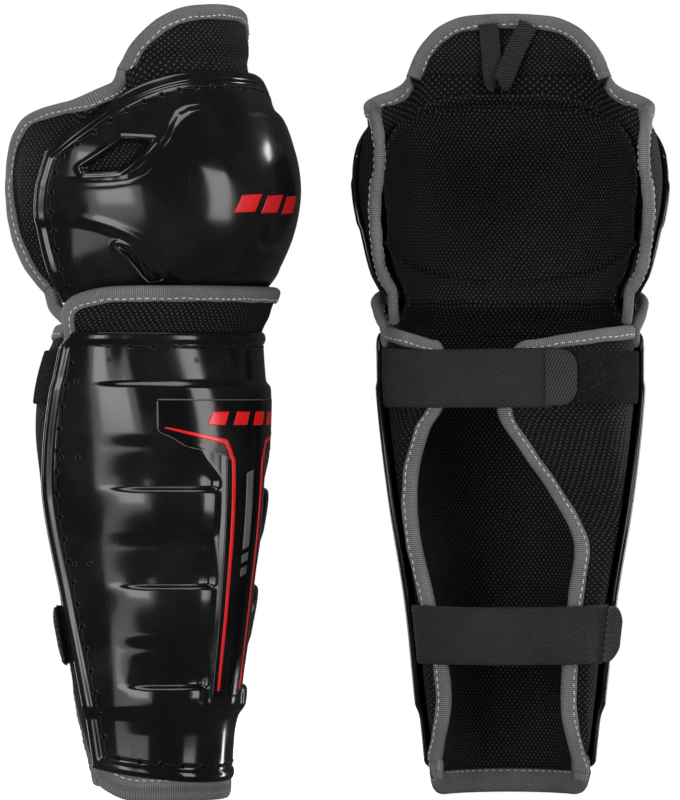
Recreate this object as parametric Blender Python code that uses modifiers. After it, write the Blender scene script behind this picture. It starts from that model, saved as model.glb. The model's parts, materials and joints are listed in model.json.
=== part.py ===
"""Pair of ice hockey shin guards, each an assembly of moulded shells, pads, bindings and straps.

Each guard is designed in its own frame, in millimetres: +Z up the leg, -Y to the front, z = 0 at the
foot of the guard, and the straps sewn at +X and fastened at -X. The two guards stand side by side.
"""

import math

import bmesh
import bpy

MM = 0.001

# Shin shell: (height, half width), (height, depth in front of the leg axis), (height, place of the rim).
SHIN_WIDTH = [(0, 51.5), (31, 54), (58, 57), (119, 63.5), (179, 73), (239, 80), (269, 81), (290, 81)]
SHIN_DEPTH = [(0, 59), (40, 62), (58, 65), (90, 69.5), (119, 73.5), (179, 80), (235, 80.5), (269, 75),
              (290, 73)]
SHIN_RIM = [(0, -4), (31, 0), (58, 3), (119, 13), (179, 20), (209, 17.5), (239, 11), (269, 3), (290, -2)]
SHIN_TOP = 280
FILM_RISE = -2.6
FILM = 0.4
FILM_FOOT = 64
FILM_TOP = 239
FILM_WIDEN_FROM = 188
FILM_WIDEN_OVER = 32
FILM_LOW_TURN = 15
FILM_HIGH_TURN = 46
SHIN_FOOT = 11
SHIN_FOOT_RISE = 9

# Knee cap, given in the same way.
KNEE_WIDTH = [(296, 75), (305, 79), (316, 84.5), (338, 90), (360, 94.5), (380, 95), (402, 91), (436, 82)]
KNEE_DEPTH = [(296, 67), (305, 74), (316, 83), (338, 95), (360, 99), (380, 96), (402, 87), (436, 68)]
KNEE_RIM = [(296, 3), (316, 8), (338, 11), (352, 11), (370, 7), (390, 1), (436, -4)]
KNEE_FOOT = 297
KNEE_TOP = 436
KNEE_TOP_FALL = 50
KNEE_TOP_POWER = 2.8

# Calf wrap behind the shell: how far it reaches behind the rim, and where each wing ends across the back.
WRAP_REACH = [(19, 13), (50, 23), (69, 23), (99, 20), (130, 15), (165, 12), (190, 18), (225, 33),
              (255, 36), (287, 28)]
TAB_WING_END = [(19, -38), (55, -30), (122, -34), (155, -37), (186, -21), (209, -5), (233, 9), (275, 2)]
SEWN_WING_END = [(19, 43), (63, 36), (119, 46), (160, 55), (193, 56), (222, 49), (236, 41), (275, 38)]
WING_TOP = 286
WING_TOP_FALL = 14
WING_FOOT = 21
WING_TUCK = 14
WING_CORNER_DROP = 11
WING_CORNER_POWER = 4
WING_EDGE_FROM = 0.28  # shares of a wing's width that its top binding runs between
WING_EDGE_TO = 0.88
WING_EDGE_CORNER = 7

# Flap sewn inside the top of the shin shell, which laps over the foot of the knee cap.
FLAP_WIDTH = [(268, 75.2), (281, 75.2), (293, 80), (308, 85)]
FLAP_DEPTH = [(268, 68.5), (281, 67.8), (293, 74), (308, 80.5)]
FLAP_RIM = 2
FLAP_FOOT = 270
FLAP_TOP = 307
FLAP_CORNER_DROP = 13
FLAP_LOW_TURN = 74
FLAP_PAD_TURN = 82
FLAP_HIGH_TURN = 87
FLAP_DROP_FROM = 58
FLAP_WIDEN_FROM = 284
FLAP_WIDEN_OVER = 12

# Outline of a knee wing, from its lower rear corner round to the front of its top: (y, z).
KNEE_WING_EDGE = [(19, 304), (28, 318), (36, 336), (40, 360), (41, 380), (36, 398), (22, 410), (-14, 418)]
KNEE_WING_ROOT = -16
KNEE_WING_FOOT = 303
KNEE_WING_ROOT_TOP = 408.8
KNEE_WING_CORNER = 13
KNEE_WING_BACK_X = 79
KNEE_WING_LEAN_OVER = 34
KNEE_WING_LEAN_POWER = 1.3
SHOULDER = [(-84, -30, 422), (-77, -32, 425), (-69, -31, 427)]

# Thigh flap: (height, half width).
THIGH_WIDTH = [(440, 60), (451, 56), (462, 48), (476, 34)]
THIGH_FOOT = 441
THIGH_TOP = 476
THIGH_CORNER_DROP = 7
THIGH_FRONT = -60
THIGH_SIDE = -33
THIGH_PAD = 7
THIGH_EDGE_LIFT = 4
THIGH_CORNER_SHARE = 0.55
LOOP_ROUTE = [(11, -52.4, 466), (9, -52.4, 435), (5, -50.8, 432), (1, -49.2, 435), (-12, -49.2, 466)]
LOOP_WIDTH = 12
LOOP = 1.2

# Thicknesses, and how far the middle of each layer lies inside the outer face of its shell.
SHELL = 2.5
FOAM = 5.5
FOAM_INSET = 6.8
KNEE_FOAM = 6
KNEE_FOAM_INSET = 7.8
LINER = 3
LINER_INSET = 13
KNEE_LINER_INSET = 14.2

# Inner layers of the shin: (turn of each side, foot, top).
SHIN_FOAM_EXTENT = (70, 24, 266)
SHIN_LINER_EXTENT = (72, 14, 286)
# Inner layers of the knee: (turn of each side, foot, margin below the cap's top edge).
KNEE_FOAM_EXTENT = (64, 308, 12)
KNEE_LINER_EXTENT = (68, 300, 9)

# Wings, bound edges and webbing.
WING = 5
WING_INSET = 8.8
KNEE_WING_INSET = 7
BINDING = 3.2
BINDING_INSET = 3.8
PAD_MARGIN = 8.2
WING_MARGIN = 9.4
BOTTOM_BINDING = 9
BOTTOM_BINDING_INSET = 7
BOTTOM_TURN = 82
BOTTOM_LIFT = 7
BOTTOM_LIFT_FROM = 64
WEBBING = 1.6
WEBBING_RISE = 4
TAB_RISE = 6.6

# Straps: centre height, and the turns about the leg at which their pieces start and stop (0 at -X).
STRAP_WIDTH = 36
TAB_WIDTH = 34
PATCH_WIDTH = 32
STRAPS = {
    "upper": {"height": 253, "strap_end": 105, "tab_end": 118, "patch_start": 116, "patch_end": 181,
              "tab_flare": 0},
    "lower": {"height": 99, "strap_end": 160, "tab_end": 175, "patch_start": 140, "patch_end": 181,
              "tab_flare": 10},
}
SEWN_END_LENGTH = 10
SEWN_END_PAST_RIM = 0.6
PIVOT_PAST_RIM = 2.0  # the line that a strap bends about, clear of the shell's rim
STRAP_GAP = 1.1
SEAM_GAP = 0.7
TAB_GAP = 1.3
RIM_TURN = 178  # the turn of the wrap at which a strap leaves the rim
STRAP_CLIMB_TURN = 20
FLARE_OUT = 0.6
FLARE_BACK = 0.2

# Joint axes: (y, z) of the two left-right axes.
KNEE_AXIS = (0, 293)
THIGH_AXIS = (-48, 438)

# Where each guard stands, and how far it is turned about the vertical.
GUARDS = {"guard1": ((-118.966, -2.075), 55), "guard2": ((103.034, -2.075), 180)}

FINISHES = {
    "shell_plastic": ((0.006, 0.006, 0.007), 0.12, 0.0),
    "printed_film": ((0.01, 0.01, 0.012), 0.2, 0.0),
    "foam": ((0.03, 0.03, 0.032), 0.95, 0.0),
    "mesh_cloth": ((0.012, 0.011, 0.012), 0.85, 0.0),
    "grey_binding": ((0.13, 0.13, 0.135), 0.8, 0.0),
    "elastic": ((0.02, 0.02, 0.022), 0.9, 0.0),
    "hook_tape": ((0.03, 0.03, 0.032), 0.8, 0.0),
    "loop_pile": ((0.008, 0.008, 0.009), 1.0, 0.0),
}


def smooth(stations, height):
    """Value at a height on a smooth curve through the stations (cubic Hermite, central slopes)."""
    first, last = stations[0], stations[-1]
    if height <= first[0]:
        return first[1]
    if height >= last[0]:
        return last[1]
    index = max(i for i in range(len(stations) - 1) if stations[i][0] <= height)

    def slope(i):
        low = stations[max(i - 1, 0)]
        high = stations[min(i + 1, len(stations) - 1)]
        return (high[1] - low[1]) / (high[0] - low[0])

    (z0, v0), (z1, v1) = stations[index], stations[index + 1]
    span = z1 - z0
    t = (height - z0) / span
    start = v0 * (1 + 2 * t) * (1 - t) ** 2 + slope(index) * span * t * (1 - t) ** 2
    end = v1 * t * t * (3 - 2 * t) + slope(index + 1) * span * t * t * (t - 1)
    return start + end


def along(points, share):
    """Point at a share of the length of a polyline of tuples."""
    lengths = [math.dist(points[i], points[i + 1]) for i in range(len(points) - 1)]
    left = share * sum(lengths)
    for i, length in enumerate(lengths):
        if left <= length or i == len(lengths) - 1:
            t = min(left / length, 1)
            return tuple(a + (b - a) * t for a, b in zip(points[i], points[i + 1]))
        left -= length
    return points[-1]


def inset_line(points, distance):
    """Line moved to its left by a distance, with a normal taken from each point's neighbours."""
    moved = []
    for i, (across, up) in enumerate(points):
        before = points[max(i - 1, 0)]
        after = points[min(i + 1, len(points) - 1)]
        run, rise = after[0] - before[0], after[1] - before[1]
        length = math.hypot(run, rise)
        moved.append((across - rise / length * distance, up + run / length * distance))
    return moved


def smooth_line(points, steps):
    """Line of evenly spread points on a Catmull-Rom curve through the points."""
    line = []
    for i in range(len(points) - 1):
        p0, p1, p2 = points[max(i - 1, 0)], points[i], points[i + 1]
        p3 = points[min(i + 2, len(points) - 1)]
        for step in range(8):
            t = step / 8
            line.append(tuple(
                b + 0.5 * t * ((c - a) + t * ((2 * a - 5 * b + 4 * c - d) + t * (3 * (b - c) + d - a)))
                for a, b, c, d in zip(p0, p1, p2, p3)
            ))
    line.append(points[-1])
    return [along(line, step / steps) for step in range(steps + 1)]


def shell_point(width, depth, rim, turn):
    """Half ellipse in plan: turn is 0 at the front and 90 degrees at each rim."""
    angle = math.radians(turn)
    return width * math.sin(angle), rim - (rim + depth) * math.cos(angle)


def shin_point(turn, height, inset):
    """Point inside the shin shell's outer face by the inset."""
    width, depth = smooth(SHIN_WIDTH, height) - inset, smooth(SHIN_DEPTH, height) - inset
    x, y = shell_point(width, depth, smooth(SHIN_RIM, height), turn)
    return x, y, height


def knee_point(turn, height, inset):
    """Point inside the knee cap's outer face by the inset."""
    width, depth = smooth(KNEE_WIDTH, height) - inset, smooth(KNEE_DEPTH, height) - inset
    x, y = shell_point(width, depth, smooth(KNEE_RIM, height), turn)
    return x, y, height


def knee_top(turn):
    """Height of the knee cap's top edge, which falls towards the rims."""
    return KNEE_TOP - KNEE_TOP_FALL * (abs(turn) / 90) ** KNEE_TOP_POWER


def wrap_point(turn, height, rise):
    """Point on the calf wrap: turn is 0 at the -X rim, 90 at the back, 180 at the +X rim."""
    angle = math.radians(turn)
    width = smooth(SHIN_WIDTH, height) - WING_INSET + rise
    reach = smooth(WRAP_REACH, height) + rise
    return -width * math.cos(angle), smooth(SHIN_RIM, height) + reach * math.sin(angle), height


def wing_path(side, height):
    """Plan of a calf wing, from its root inside the rim to its free edge."""
    width = smooth(SHIN_WIDTH, height) - WING_INSET
    end = smooth(TAB_WING_END, height) if side < 0 else smooth(SEWN_WING_END, height)
    last = math.degrees(math.acos(max(-1, min(1, side * end / width))))
    root = (side * width, smooth(SHIN_RIM, height) - WING_TUCK)
    points = [root]
    for step in range(13):
        x, y, _ = wrap_point(last * step / 12, height, 0)
        points.append((-side * x, y))
    return points


def wing_point(side, distance_from_edge, height):
    """Point on a calf wing, at a distance from its free edge."""
    points = wing_path(side, height)
    length = sum(math.dist(points[i], points[i + 1]) for i in range(len(points) - 1))
    x, y = along(points, max(0.0, 1 - distance_from_edge / length))
    return x, y, height


def wing_slant(side, height):
    """Length of a calf wing's free edge for each unit of height, which widens a margin set across it."""
    ends = TAB_WING_END if side < 0 else SEWN_WING_END
    return math.hypot(1, (smooth(ends, height + 4) - smooth(ends, height - 4)) / 8)


def wing_length(side, height):
    """Distance from a calf wing's root to its free edge."""
    points = wing_path(side, height)
    return sum(math.dist(points[i], points[i + 1]) for i in range(len(points) - 1))


def wing_top(share):
    """Height of a calf wing's top edge, at a share of its width from the root."""
    return WING_TOP - WING_TOP_FALL * share ** 1.5


def flap_point(turn, height):
    """Point on the middle of the shin's top flap."""
    x, y = shell_point(smooth(FLAP_WIDTH, height), smooth(FLAP_DEPTH, height), FLAP_RIM, turn)
    return x, y, height


def knee_wing_point(side, y, height):
    """Point on a knee wing, which runs back from inside the cap's rim and leans in a little."""
    rim = smooth(KNEE_RIM, height)
    front = smooth(KNEE_WIDTH, height) - KNEE_WING_INSET
    ahead = max(0.0, rim - y) / (rim + smooth(KNEE_DEPTH, height) - KNEE_WING_INSET)
    front *= math.sqrt(1 - ahead ** 2)
    lean = min(1, max(0.0, y - rim) / KNEE_WING_LEAN_OVER) ** KNEE_WING_LEAN_POWER
    x = front + (min(front, KNEE_WING_BACK_X) - front) * lean
    return side * x, y, height


def thigh_point(x, height):
    """Point on the middle of the thigh flap, a shallow arc across the thigh."""
    bend = (THIGH_SIDE - THIGH_FRONT) * (x / THIGH_WIDTH[1][1]) ** 2
    return x, THIGH_FRONT + bend, height


class Builder:
    """Makes the pieces of one guard and hangs them on the frames of its moving bodies."""

    def __init__(self, guard, collection):
        self.guard = guard
        self.collection = collection
        (x, y), yaw = GUARDS[guard]
        self.root = self.empty("frame", (x, y, 0), None)
        self.root.rotation_euler = (0, 0, math.radians(yaw))
        self.frames = {"shin": ((0, 0, 0), self.root)}

    def empty(self, name, place, parent):
        """An empty that carries a body's pieces."""
        frame = bpy.data.objects.new(f"{self.guard}_{name}_axis", None)
        frame.empty_display_size = 0.02
        frame.location = [value * MM for value in place]
        frame.parent = parent
        self.collection.objects.link(frame)
        return frame

    def body(self, name, place, parent):
        """Adds a moving body whose frame stands on its joint's axis."""
        parent_place, parent_frame = self.frames[parent]
        offset = [a - b for a, b in zip(place, parent_place)]
        self.frames[name] = (place, self.empty(name, offset, parent_frame))

    def add(self, name, data, body, finish):
        """Links a piece to its body, with a material of its own."""
        piece = bpy.data.objects.new(f"{self.guard}_{name}", data)
        place, frame = self.frames[body]
        piece.parent = frame
        piece.location = [-value * MM for value in place]
        self.collection.objects.link(piece)
        colour, roughness, metallic = FINISHES[finish]
        material = bpy.data.materials.new(f"{self.guard}_{name}_{finish}")
        material.use_nodes = True
        shader = material.node_tree.nodes["Principled BSDF"]
        shader.inputs["Base Color"].default_value = (*colour, 1)
        shader.inputs["Roughness"].default_value = roughness
        shader.inputs["Metallic"].default_value = metallic
        piece.data.materials.append(material)
        return piece

    def sheet(self, name, body, finish, columns, rows, thickness, place):
        """A grid bent to place(across, up), both 0 to 1, and thickened evenly to both sides."""
        mesh = bpy.data.meshes.new(f"{self.guard}_{name}")
        grid = bmesh.new()
        bmesh.ops.create_grid(grid, x_segments=columns, y_segments=rows, size=0.5)
        for vert in grid.verts:
            vert.co = [value * MM for value in place(vert.co.x + 0.5, vert.co.y + 0.5)]
        grid.to_mesh(mesh)
        grid.free()
        mesh.shade_smooth()
        piece = self.add(name, mesh, body, finish)
        wall = piece.modifiers.new("thickness", "SOLIDIFY")
        wall.thickness = thickness * MM
        wall.offset = 0
        wall.use_even_offset = True
        return piece

    def cord(self, name, body, finish, radius, points):
        """A round bound edge along a line of points."""
        curve = bpy.data.curves.new(f"{self.guard}_{name}", "CURVE")
        curve.dimensions = "3D"
        curve.bevel_depth = radius * MM
        curve.bevel_resolution = 1
        curve.use_fill_caps = True
        spline = curve.splines.new("POLY")
        spline.points.add(len(points) - 1)
        for point, place in zip(spline.points, points):
            point.co = (*[value * MM for value in place], 1)
        return self.add(name, curve, body, finish)


def make_shin(make):
    """The moulded shin shell, what is bonded and sewn inside it, and its printed film."""
    def shell(across, up):
        turn = 180 * across - 90
        foot = SHIN_FOOT + SHIN_FOOT_RISE * (turn / 90) ** 2
        return shin_point(turn, foot + (SHIN_TOP - foot) * up, SHELL / 2)

    def film(across, up):
        height = FILM_FOOT + (FILM_TOP - FILM_FOOT) * up
        widen = min(1, max(0, (height - FILM_WIDEN_FROM) / FILM_WIDEN_OVER))
        reach = FILM_LOW_TURN + (FILM_HIGH_TURN - FILM_LOW_TURN) * widen
        return shin_point((2 * across - 1) * reach, height, FILM_RISE)

    def layer(inset, turn, foot, top):
        return lambda across, up: shin_point((2 * across - 1) * turn, foot + (top - foot) * up, inset)

    def bottom(across):
        turn = (2 * across - 1) * BOTTOM_TURN
        lift = BOTTOM_LIFT * max(0, (abs(turn) - BOTTOM_LIFT_FROM) / (BOTTOM_TURN - BOTTOM_LIFT_FROM)) ** 2
        return shin_point(turn, lift, BOTTOM_BINDING_INSET)

    def bottom_wall(across, up):
        x, y, foot = bottom(across)
        return x, y, foot + BOTTOM_BINDING * up

    make.sheet("shin_shell", "shin", "shell_plastic", 18, 12, SHELL, shell)
    make.sheet("shin_graphic_film", "shin", "printed_film", 8, 8, FILM, film)
    make.sheet("shin_foam", "shin", "foam", 10, 6, FOAM, layer(FOAM_INSET, *SHIN_FOAM_EXTENT))
    make.sheet("shin_liner", "shin", "mesh_cloth", 10, 6, LINER, layer(LINER_INSET, *SHIN_LINER_EXTENT))
    make.sheet("bottom_binding", "shin", "grey_binding", 16, 1, BOTTOM_BINDING, bottom_wall)


def make_top_flap(make):
    """The soft flap over the joint between the two shells."""
    def drop(turn):
        share = max(0, abs(turn) - FLAP_DROP_FROM) / (FLAP_HIGH_TURN - FLAP_DROP_FROM)
        return FLAP_CORNER_DROP * share ** 2

    def flap(across, up):
        height = FLAP_FOOT + (FLAP_TOP - PAD_MARGIN - FLAP_FOOT) * up
        widen = min(1, max(0, (height - FLAP_WIDEN_FROM) / FLAP_WIDEN_OVER))
        turn = (2 * across - 1) * (FLAP_LOW_TURN + (FLAP_PAD_TURN - FLAP_LOW_TURN) * widen)
        fall = drop(turn) * up ** 3
        return flap_point(turn, height - fall)

    turns = [FLAP_HIGH_TURN * (step / 10 - 1) for step in range(21)]
    edge = [flap_point(turn, FLAP_TOP - BINDING_INSET - drop(turn)) for turn in turns]
    make.sheet("shin_top_flap", "shin", "mesh_cloth", 16, 3, WING, flap)
    make.cord("shin_top_flap_binding", "shin", "grey_binding", BINDING, edge)


def make_wings(make):
    """The two wings of the calf wrap and the binding sewn along their edges."""
    for side, name in ((-1, "tab_side"), (1, "sewn_side")):
        def pad(across, up, side=side):
            top = wing_top(across) - PAD_MARGIN - WING_CORNER_DROP * across ** WING_CORNER_POWER
            height = WING_FOOT + (top - WING_FOOT) * up
            margin = WING_MARGIN * wing_slant(side, height)
            from_edge = margin + (wing_length(side, height) - margin) * (1 - across)
            return wing_point(side, from_edge, height)

        top_edge = []
        for step in range(5):
            share = WING_EDGE_FROM + (WING_EDGE_TO - WING_EDGE_FROM) * step / 4
            height = wing_top(share) - BINDING_INSET
            top_edge.append(wing_point(side, wing_length(side, height) * (1 - share), height))
        foot, corner = WING_FOOT + 1, wing_top(1) - BINDING_INSET - WING_EDGE_CORNER
        side_edge = []
        for step in range(14):
            height = corner + (foot - corner) * step / 13
            side_edge.append(wing_point(side, BINDING_INSET * wing_slant(side, height), height))
        make.sheet(f"calf_wing_{name}", "shin", "mesh_cloth", 9, 10, WING, pad)
        make.cord(f"calf_wing_binding_{name}", "shin", "grey_binding", BINDING, top_edge + side_edge)


def make_knee(make):
    """The moulded knee cap, its foam and lining, and the two bound wings beside the knee."""
    def cap(across, up):
        turn = 180 * across - 90
        return knee_point(turn, KNEE_FOOT + (knee_top(turn) - KNEE_FOOT) * up, SHELL / 2)

    def layer(inset, reach, foot, margin):
        def place(across, up):
            turn = (2 * across - 1) * reach
            return knee_point(turn, foot + (knee_top(turn) - margin - foot) * up, inset)
        return place

    outline = smooth_line(KNEE_WING_EDGE, 16)
    pad_edge = inset_line(outline, PAD_MARGIN)
    make.body("knee", (0, *KNEE_AXIS), "shin")
    make.sheet("knee_cap", "knee", "shell_plastic", 18, 12, SHELL, cap)
    make.sheet("knee_foam", "knee", "foam", 10, 8, KNEE_FOAM, layer(KNEE_FOAM_INSET, *KNEE_FOAM_EXTENT))
    make.sheet("knee_liner", "knee", "mesh_cloth", 10, 8, LINER, layer(KNEE_LINER_INSET, *KNEE_LINER_EXTENT))
    for side, name in ((-1, "tab_side"), (1, "sewn_side")):
        def pad(across, up, side=side):
            y, height = along(pad_edge[:KNEE_WING_CORNER], up)
            root_height = KNEE_WING_FOOT + (KNEE_WING_ROOT_TOP - KNEE_WING_FOOT) * up
            back = KNEE_WING_ROOT + (y - KNEE_WING_ROOT) * across
            return knee_wing_point(side, back, root_height + (height - root_height) * across)

        edge = [knee_wing_point(side, y, height) for y, height in inset_line(outline, BINDING_INSET)]
        shoulder = [(-side * x, y, z) for x, y, z in SHOULDER]
        make.sheet(f"knee_wing_{name}", "knee", "mesh_cloth", 4, 6, WING, pad)
        make.cord(f"knee_binding_{name}", "knee", "grey_binding", BINDING, edge + shoulder)


def make_thigh(make):
    """The soft flap above the knee cap, its binding and the folded hanging loop."""
    def top(share):
        return THIGH_TOP - THIGH_CORNER_DROP * abs(share) ** 3

    def pad(across, up):
        share = 2 * across - 1
        height = THIGH_FOOT + (top(share) - PAD_MARGIN - THIGH_FOOT) * up
        return thigh_point(share * (smooth(THIGH_WIDTH, height) - PAD_MARGIN), height)

    edge = []
    edge_foot, edge_top = THIGH_FOOT + THIGH_EDGE_LIFT, THIGH_TOP - BINDING_INSET
    for step in range(21):
        share = step / 10 - 1
        rise = min(1, (1 - abs(share)) / (1 - THIGH_CORNER_SHARE))
        height = edge_foot + (edge_top - edge_foot) * math.sin(rise * math.pi / 2)
        half = smooth(THIGH_WIDTH, height) - BINDING_INSET
        edge.append(thigh_point(math.copysign(half * min(1, abs(share) / THIGH_CORNER_SHARE), share), height))

    def loop(across, up):
        x, y, height = along(LOOP_ROUTE, up)
        return x + LOOP_WIDTH * (across - 0.5), y, height

    make.body("thigh", (0, *THIGH_AXIS), "knee")
    make.sheet("thigh_flap", "thigh", "mesh_cloth", 10, 4, THIGH_PAD, pad)
    make.cord("thigh_flap_binding", "thigh", "grey_binding", BINDING, edge)
    make.sheet("hanging_loop", "thigh", "elastic", 1, 12, LOOP, loop)


def wrap_degrees(distance, turn, height):
    """Degrees of the wrap that span a distance along it near a turn."""
    ahead = wrap_point(turn + 1, height, WEBBING_RISE)
    behind = wrap_point(turn - 1, height, WEBBING_RISE)
    return 2 * distance / math.dist(ahead[:2], behind[:2])


def strap_point(height, turn, rise, across_width):
    """A point of a strap, whose turns count from the rim that it is sewn under."""
    return wrap_point(180 - turn, height + across_width, rise)


def sewn_line(height, up):
    """The line past the shell's rim that a strap bends about, from its lower to its upper edge."""
    turn = wrap_degrees(PIVOT_PAST_RIM, RIM_TURN, height)
    return strap_point(height, turn, WEBBING_RISE, STRAP_WIDTH * (up - 0.5))


def seam_line(height, seam, up):
    """The seam that a hook tab peels about."""
    return strap_point(height, seam, TAB_RISE, STRAP_WIDTH * (up - 0.5))


def make_strap(make, name, sizes):
    """One elastic strap with its sewn end, its hook tab and the pile patch that the tab grips."""
    height, seam, flare = sizes["height"], sizes["strap_end"], sizes["tab_flare"]

    def band(width, start, end, rise, flare=0):
        def place(across, up):
            turn = start + (end - start) * across
            x, y, level = strap_point(height, turn, rise, width * (up - 0.5))
            lift = flare * across ** 2
            return x - FLARE_OUT * lift, y + FLARE_BACK * lift, level
        return place

    def sewn_end(across, up):
        x, y, level = strap_point(height, 0, WEBBING_RISE, STRAP_WIDTH * (up - 0.5))
        return x, y + SEWN_END_PAST_RIM - SEWN_END_LENGTH * (1 - across), level

    def strap(across, up):
        start = wrap_degrees(PIVOT_PAST_RIM + STRAP_GAP, RIM_TURN, height)
        end = seam - wrap_degrees(SEAM_GAP, 180 - seam, height)
        turn = start + (end - start) * across
        climb = (TAB_RISE - WEBBING_RISE) * min(1, turn / STRAP_CLIMB_TURN)
        return strap_point(height, turn, WEBBING_RISE + climb, STRAP_WIDTH * (up - 0.5))

    make.body(f"{name}_strap", sewn_line(height, 0.5), "shin")
    make.body(f"{name}_tab", seam_line(height, seam, 0.5), f"{name}_strap")
    tab_start = seam + wrap_degrees(TAB_GAP, 180 - seam, height)
    make.sheet(f"{name}_strap_sewn_end", "shin", "elastic", 1, 2, WEBBING, sewn_end)
    make.sheet(f"{name}_strap", f"{name}_strap", "elastic", 14, 2, WEBBING, strap)
    make.sheet(f"{name}_hook_tab", f"{name}_tab", "hook_tape", 5, 2, WEBBING,
               band(TAB_WIDTH, tab_start, sizes["tab_end"], TAB_RISE, flare))
    make.sheet(f"{name}_loop_patch", "shin", "loop_pile", 9, 2, WEBBING,
               band(PATCH_WIDTH, sizes["patch_start"], sizes["patch_end"], WEBBING_RISE))


def main():
    """Clears the scene and builds both guards."""
    for item in list(bpy.data.objects):
        bpy.data.objects.remove(item, do_unlink=True)
    collection = bpy.data.collections.new("hockey_shin_guards")
    bpy.context.scene.collection.children.link(collection)
    for guard in GUARDS:
        make = Builder(guard, collection)
        make_shin(make)
        make_top_flap(make)
        make_wings(make)
        make_knee(make)
        make_thigh(make)
        for name, sizes in STRAPS.items():
            make_strap(make, name, sizes)


main()
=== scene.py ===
"""Looks for a pair of ice hockey shin guards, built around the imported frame.

Every shape is worked out in its guard's own millimetre frame (+Z up the leg, -Y to the front, turn = 0
degrees at the front and 90 at each rim) and then carried to where that guard stands.
"""
from __future__ import annotations

import sys

import json
import logging
import math
from dataclasses import dataclass, field
from enum import Enum
from typing import Callable, ClassVar, Iterable

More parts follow.
